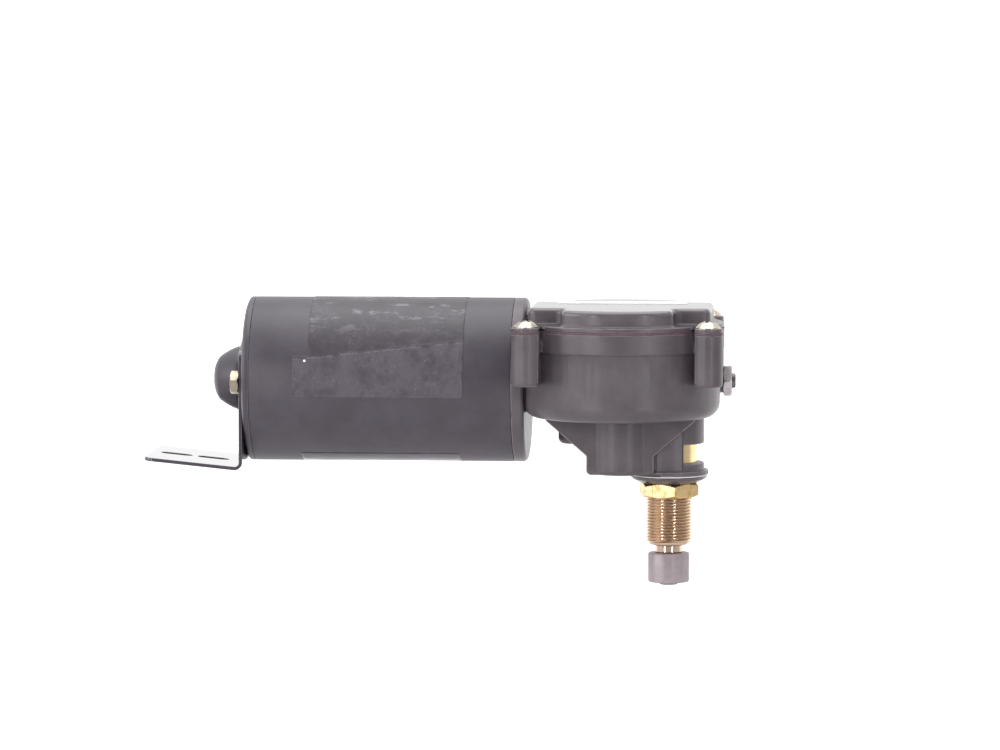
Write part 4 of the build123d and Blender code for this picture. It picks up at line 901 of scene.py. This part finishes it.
class WIPER_OT_label_film(bpy.types.Operator):
    """Lay the wrinkled blank label film over the can"""

    bl_idname = "wiper.label_film"
    bl_label = "Label film"

    def execute(self, context):
        size = context.scene.wiper_motor
        tone = context.scene.wiper_colours
        centre = middle("motor_can")
        radius = (high("motor_can").z - low("motor_can").z) / 2
        run, sweep_angle = size.film_end - size.film_tail, FILM_TOP - FILM_FOOT
        bm = bmesh.new()
        bmesh.ops.create_grid(bm, x_segments=170, y_segments=150, size=0.5)

        def on_can(x, angle, out):
            """The point at a distance from the can's axis."""
            return Vector((x, centre.y - out * math.cos(angle), centre.z + out * math.sin(angle)))

        def seam(x):
            """The angle at which the film's two lengths overlap."""
            share = (x - size.film_start) / (size.film_end - size.film_start)
            return math.radians(SEAM_START + SEAM_RISE * share)

        climb = math.sin(seam(size.film_end)) - math.sin(seam(size.film_start))
        rise = climb / (size.film_end - size.film_start)
        seam_z = centre.z + radius * (math.sin(seam(size.film_start)) - rise * size.film_start)
        for vert in bm.verts:
            x = size.film_tail + (vert.co.x + 0.5) * run
            vert.co = (x, FILM_FOOT + (vert.co.y + 0.5) * sweep_angle, 0)
        extra = []
        for face in bm.faces:
            spot = face.calc_center_median()
            if spot.x < size.film_start and spot.y > TAIL_TOP:
                extra.append(face)
        bmesh.ops.delete(bm, geom=extra, context="FACES")
        for vert in bm.verts:
            x, angle = vert.co.x, vert.co.y
            at = Vector((x * 1000, angle * radius * 1000, 0))
            ragged = 0.35 * MM * noise.noise(at * 0.45)
            creases = noise.turbulence(at * 0.16, 3, True, amplitude_scale=0.6, frequency_scale=2.3)
            fine = noise.ridged_multi_fractal(at * 0.33, 0.9, 2.1, 4, 0.9, 2.0)
            strip = 1.0 if angle < seam(x) else 0.45
            lift = size.film_crease * (0.2 + strip * (0.45 * creases + 0.22 * fine))
            from_seam = (angle - seam(x)) * radius / MM + noise.noise(at * 0.07)
            lift += 0.16 * MM * math.exp(-((from_seam / 0.5) ** 2))
            edge = min(1.0, (angle - FILM_FOOT) * 12, (FILM_TOP - angle) * 12)
            vert.co = on_can(x + ragged, angle, radius + FILM_GAUGE + lift * max(0.15, edge))
        bmesh.ops.recalc_face_normals(bm, faces=bm.faces)
        glint = on_can(size.film_start - 1.1 * MM, 0.29, radius)

        def build(place):
            cloud = place.noise(95.0, 3.0, 0.6)
            blots = place.noise(300.0, 5.0, 0.66)
            crumbs = place.noise(1100.0, 3.0, 0.65)
            smears = place.stretch(0.4, 1, 1.4).noise(260.0, 5.0, 0.65)
            line = place.axis("Z") - (radius * rise) * place.axis("X") - 1.2 * MM * (cloud - 0.5)
            strip = 1 - line.smooth(seam_z - 0.3 * MM, seam_z + 0.3 * MM)
            # A pale line along the seam is a painted highlight on the fold.
            fold = (1 - abs(line - seam_z).smooth(0.1 * MM, 0.5 * MM)) * blots.smooth(0.4, 0.6)
            crown = place.axis("Z").smooth(centre.z + 18 * MM, centre.z + 29 * MM)
            busy = cloud.smooth(0.42, 0.58)
            rough = 0.5 * blots + 0.5 * cloud + (0.10 + 0.35 * busy) * (crumbs - 0.5) + 0.13 * (strip - 0.5)
            # Pale specks on the wrinkles are painted glints.
            painted_glints = crumbs.smooth(0.62, 0.70) * blots.smooth(0.5, 0.6) * (0.3 + 0.7 * strip)
            # Pale streaks near the top are a painted reflection of the backdrop.
            painted_top_streaks = smears.smooth(0.56, 0.66) * crown
            mottle = rough.smooth(0.34, 0.66)
            base = strip.mix(mottle.tones(tone.film, 0.64, 1.32), mottle.tones(tone.film, 0.78, 1.46))
            # pale gathers the painted glints, the painted top reflection and the seam's painted highlight.
            pale = (0.5 * painted_glints).most(0.5 * painted_top_streaks).most(0.18 * fold)
            # A small pale spot near the film's left end is a painted glint.
            painted_glint_spot = place.vector("DISTANCE", tuple(glint)).smooth(0.35 * MM, 0.7 * MM)
            return {
                "Base Color": painted_glint_spot.mix((0.9, 0.9, 0.88, 1), pale.mix(base, shade(tone.film, 5.0))),
                "Roughness": 0.52 + 0.4 * (blots - 0.5) - 0.2 * painted_glints - 0.12 * crown,
                "Normal": ((blots + 0.35 * crumbs * busy) * (0.45 + 0.55 * strip)).bump(0.0002),
            }

        made = finish("wrinkled_film", build)
        film = piece("blank_label_film", bm, "housing", made, "black_paint_worn", sharp=60)

        # A glossy strip of the same film, lapped under the can.
        bm = bmesh.new()
        bmesh.ops.create_grid(bm, x_segments=90, y_segments=40, size=0.5)
        for vert in bm.verts:
            x = LAP_START + (vert.co.x + 0.5) * LAP_RUN
            angle = LAP_FOOT + (vert.co.y + 0.5) * (LAP_TOP - LAP_FOOT)
            at = Vector((x * 1000, angle * radius * 1000, 5))
            out = radius + (0.06 + 0.08 * noise.turbulence(at * 0.12, 3, False)) * MM
            vert.co = on_can(x + 1.2 * MM * noise.noise(at * 0.05), angle, out)
        bmesh.ops.recalc_face_normals(bm, faces=bm.faces)

        def gloss(place):
            cloud = place.noise(160.0, 4.0, 0.6)
            return {
                "Base Color": cloud.smooth(0.3, 0.7).tones(tone.film, 0.8, 1.2),
                "Roughness": 0.12 + 0.16 * (cloud - 0.4),
                "Normal": place.noise(500.0, 3.0).bump(0.00002),
            }

        made = finish("glossy_film", gloss)
        lap = piece("lapped_film", bm, "housing", made, "black_paint_worn", sharp=60)
        for thing in (film, lap):
            thick = thing.modifiers.new("Thickness", "SOLIDIFY")
            thick.thickness, thick.offset = FILM_GAUGE, 1.0
        return {"FINISHED"}


class WIPER_OT_end_fixings(bpy.types.Operator):
    """Make the small nuts and the slotted thrust screw"""

    bl_idname = "wiper.end_fixings"
    bl_label = "End fixings"

    def execute(self, context):
        nickel = metal("nut_plating", (0.38, 0.33, 0.26), 0.18, (6, 1, 1), 700.0, 0.5)
        first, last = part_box("end_nuts")
        half = (last.z - first.z) / 2
        height = middle("end_nuts").z
        whole = bmesh.new()
        for y in (first.y + half, last.y - half):
            bm = hex_nut(half * 2, last.x - first.x, BOLT_NUT_BORE, 4)
            bm.transform(
                Matrix.Translation((first.x, y, height))
                @ Matrix.Rotation(math.radians(90), 4, "Y")
                @ Matrix.Rotation(math.radians(16), 4, "Z")
            )
            gather(whole, bm)
        piece("bolt_nuts", whole, "housing", nickel, "nickel", "end_nuts", sharp=25)

        first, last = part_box("thrust_lock_nut")
        bm = hex_nut(last.z - first.z, last.x - first.x, LOCK_NUT_BORE, 4)
        bm.transform(along_motor(first.x) @ Matrix.Rotation(math.radians(30), 4, "Z"))
        dull = metal("lock_nut_plating", (0.60, 0.56, 0.58), 0.26, (6, 1, 1), 700.0, 0.6)
        piece("plated_lock_nut", bm, "housing", dull, "nickel", "thrust_lock_nut", sharp=25)

        # The thrust screw, with a chamfered end and a screwdriver slot.
        first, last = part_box("thrust_screw")
        run, radius = last.x - first.x, (last.z - first.z) / 2
        foot_bevel, end_bevel, slot_half, slot_depth = 0.4 * MM, 0.5 * MM, 0.45 * MM, 1.2 * MM
        foot = [(0, 0), (radius - foot_bevel, 0), (radius, foot_bevel)]
        end = [(radius, run - end_bevel), (radius - end_bevel, run), (0, run)]
        bm = bmesh.new()
        spun(bm, foot + end, steps=64, close=False)
        tidied(bm)
        sink(bm, run, ((slot_half, radius * 2),), slot_depth, 1.0)
        bm.transform(along_motor(first.x) @ Matrix.Rotation(math.radians(55), 4, "Z"))
        dark = metal("screw_end_steel", (0.20, 0.18, 0.19), 0.34, (6, 1, 1), 700.0, 0.6)
        piece("slotted_thrust_screw", bm, "housing", dark, "steel", "thrust_screw", sharp=30)
        return {"FINISHED"}


class WIPER_OT_stage(bpy.types.Operator):
    """Set up the floor, the lights and the camera"""

    bl_idname = "wiper.stage"
    bl_label = "Studio"

    def execute(self, context):
        size = context.scene.wiper_stage
        scene = context.scene
        scene.view_settings.view_transform = "Standard"
        scene.view_settings.look = "None"

        bm = bmesh.new()
        bmesh.ops.create_grid(bm, x_segments=2, y_segments=2, size=size.floor_width / 2)
        bm.transform(Matrix.Translation((0, 0, -size.floor_drop)))
        floor = put("pale_floor", as_mesh("pale_floor", bm))

        def floor_paint(place):
            # The floor glows far behind the motor, as painted light, and is painted darker near the camera,
            # as painted shade.
            lit = place.axis("Y").smooth(0.2, 1.3)
            near = place.axis("Y").smooth(-2.2, -0.6)
            tone = near.mix((0.26, 0.25, 0.26, 1), (0.56, 0.55, 0.56, 1))
            return {
                "Base Color": (lit + 0.01 * place.noise(3.0)).mix(tone, (0.92, 0.92, 0.92, 1)),
                "Roughness": 0.7,
                "Emission Color": lit.mix((0.0, 0.0, 0.0, 1), (1, 1, 1, 1)),
                "Emission Strength": 0.5,
            }

        floor.data.materials.append(finish("floor_paint", floor_paint))

        world = bpy.data.worlds.new("studio")
        scene.world = world
        world.use_nodes = True
        tree = world.node_tree
        tree.nodes.clear()
        way = Wire(tree, tree.nodes.new("ShaderNodeTexCoord").outputs["Generated"])
        ahead = way.vector("DOT_PRODUCT", (0.05, -0.99, 0.12)).smooth(0.45, 0.85)
        aside = 0.55 * way.vector("DOT_PRODUCT", (0.98, -0.2, 0.0)).smooth(0.7, 0.95)
        dim = ahead.most(aside)
        glow = dim.mix((1.0, 1.0, 1.0, 1), (0.10, 0.085, 0.09, 1))
        back = way.node("ShaderNodeBackground", None, {"Color": glow, "Strength": 1.15})
        way.node("ShaderNodeOutputWorld", None, {"Surface": back})

        for name, at, wide, tall, power in (
            ("overhead", (-0.1, 0.2, 1.6), 1.6, 1.6, 17.0),
            ("left_strip", (-0.80, -1.36, 0.05), 0.16, 1.2, 5.0),
            ("right_strip", (0.80, -1.32, 0.05), 0.07, 1.2, 4.0),
            ("left_bank", (-1.7, -0.9, 0.5), 0.9, 1.2, 9.0),
            ("front_fill", (0.3, -2.3, 0.7), 1.6, 1.2, 24.0),
        ):
            lamp = bpy.data.lights.new(name, "AREA")
            lamp.shape, lamp.size, lamp.size_y, lamp.energy = "RECTANGLE", wide, tall, power
            holder = put(name, lamp)
            holder.visible_camera = False
            holder.visible_glossy = name != "front_fill"
            aim = Vector((-0.03, 0, 0.0)) - Vector(at)
            turn = aim.to_track_quat("-Z", "Y").to_matrix().to_4x4()
            holder.matrix_world = Matrix.Translation(at) @ turn

        camera = put("camera", bpy.data.cameras.new("camera"))
        camera.data.lens = size.lens
        camera.data.sensor_width = 36.0
        camera.data.clip_start, camera.data.clip_end = 0.05, 50.0
        turn, fall = size.camera_turn, size.camera_fall
        ahead = Vector((-math.sin(turn) * math.cos(fall), math.cos(turn) * math.cos(fall), -math.sin(fall)))
        camera.location = size.camera
        camera.rotation_euler = ahead.to_track_quat("-Z", "Y").to_euler()
        scene.camera = camera
        return {"FINISHED"}


class WIPER_PT_panel(bpy.types.Panel):
    """The sizes and colours, and a button for each step"""

    bl_idname = "WIPER_PT_panel"
    bl_label = "Wiper Motor"
    bl_space_type = "VIEW_3D"
    bl_region_type = "UI"
    bl_category = "Wiper Motor"

    def draw(self, context):
        for group in GROUPS:
            box = self.layout.box()
            settings = getattr(context.scene, group)
            for name in settings.__annotations__:
                box.prop(settings, name)
        for step in STEPS:
            self.layout.operator(step.bl_idname)


GROUPS = {
    "wiper_spindle": SpindleSizes,
    "wiper_motor": MotorSizes,
    "wiper_colours": Colours,
    "wiper_stage": StageSizes,
}
STEPS = (
    WIPER_OT_finishes,
    WIPER_OT_castings,
    WIPER_OT_bush,
    WIPER_OT_spindle_nut,
    WIPER_OT_driver,
    WIPER_OT_cover_screws,
    WIPER_OT_motor_can,
    WIPER_OT_label_film,
    WIPER_OT_end_fixings,
    WIPER_OT_stage,
)


def register():
    for name, group in GROUPS.items():
        bpy.utils.register_class(group)
        setattr(bpy.types.Scene, name, PointerProperty(type=group))
    for step in STEPS:
        bpy.utils.register_class(step)
    bpy.utils.register_class(WIPER_PT_panel)


def unregister():
    bpy.utils.unregister_class(WIPER_PT_panel)
    for step in reversed(STEPS):
        bpy.utils.unregister_class(step)
    for name, group in GROUPS.items():
        delattr(bpy.types.Scene, name)
        bpy.utils.unregister_class(group)


def main():
    register()
    for step in STEPS:
        kind, name = step.bl_idname.split(".")
        getattr(getattr(bpy.ops, kind), name)()


if __name__ == "__main__":
    main()
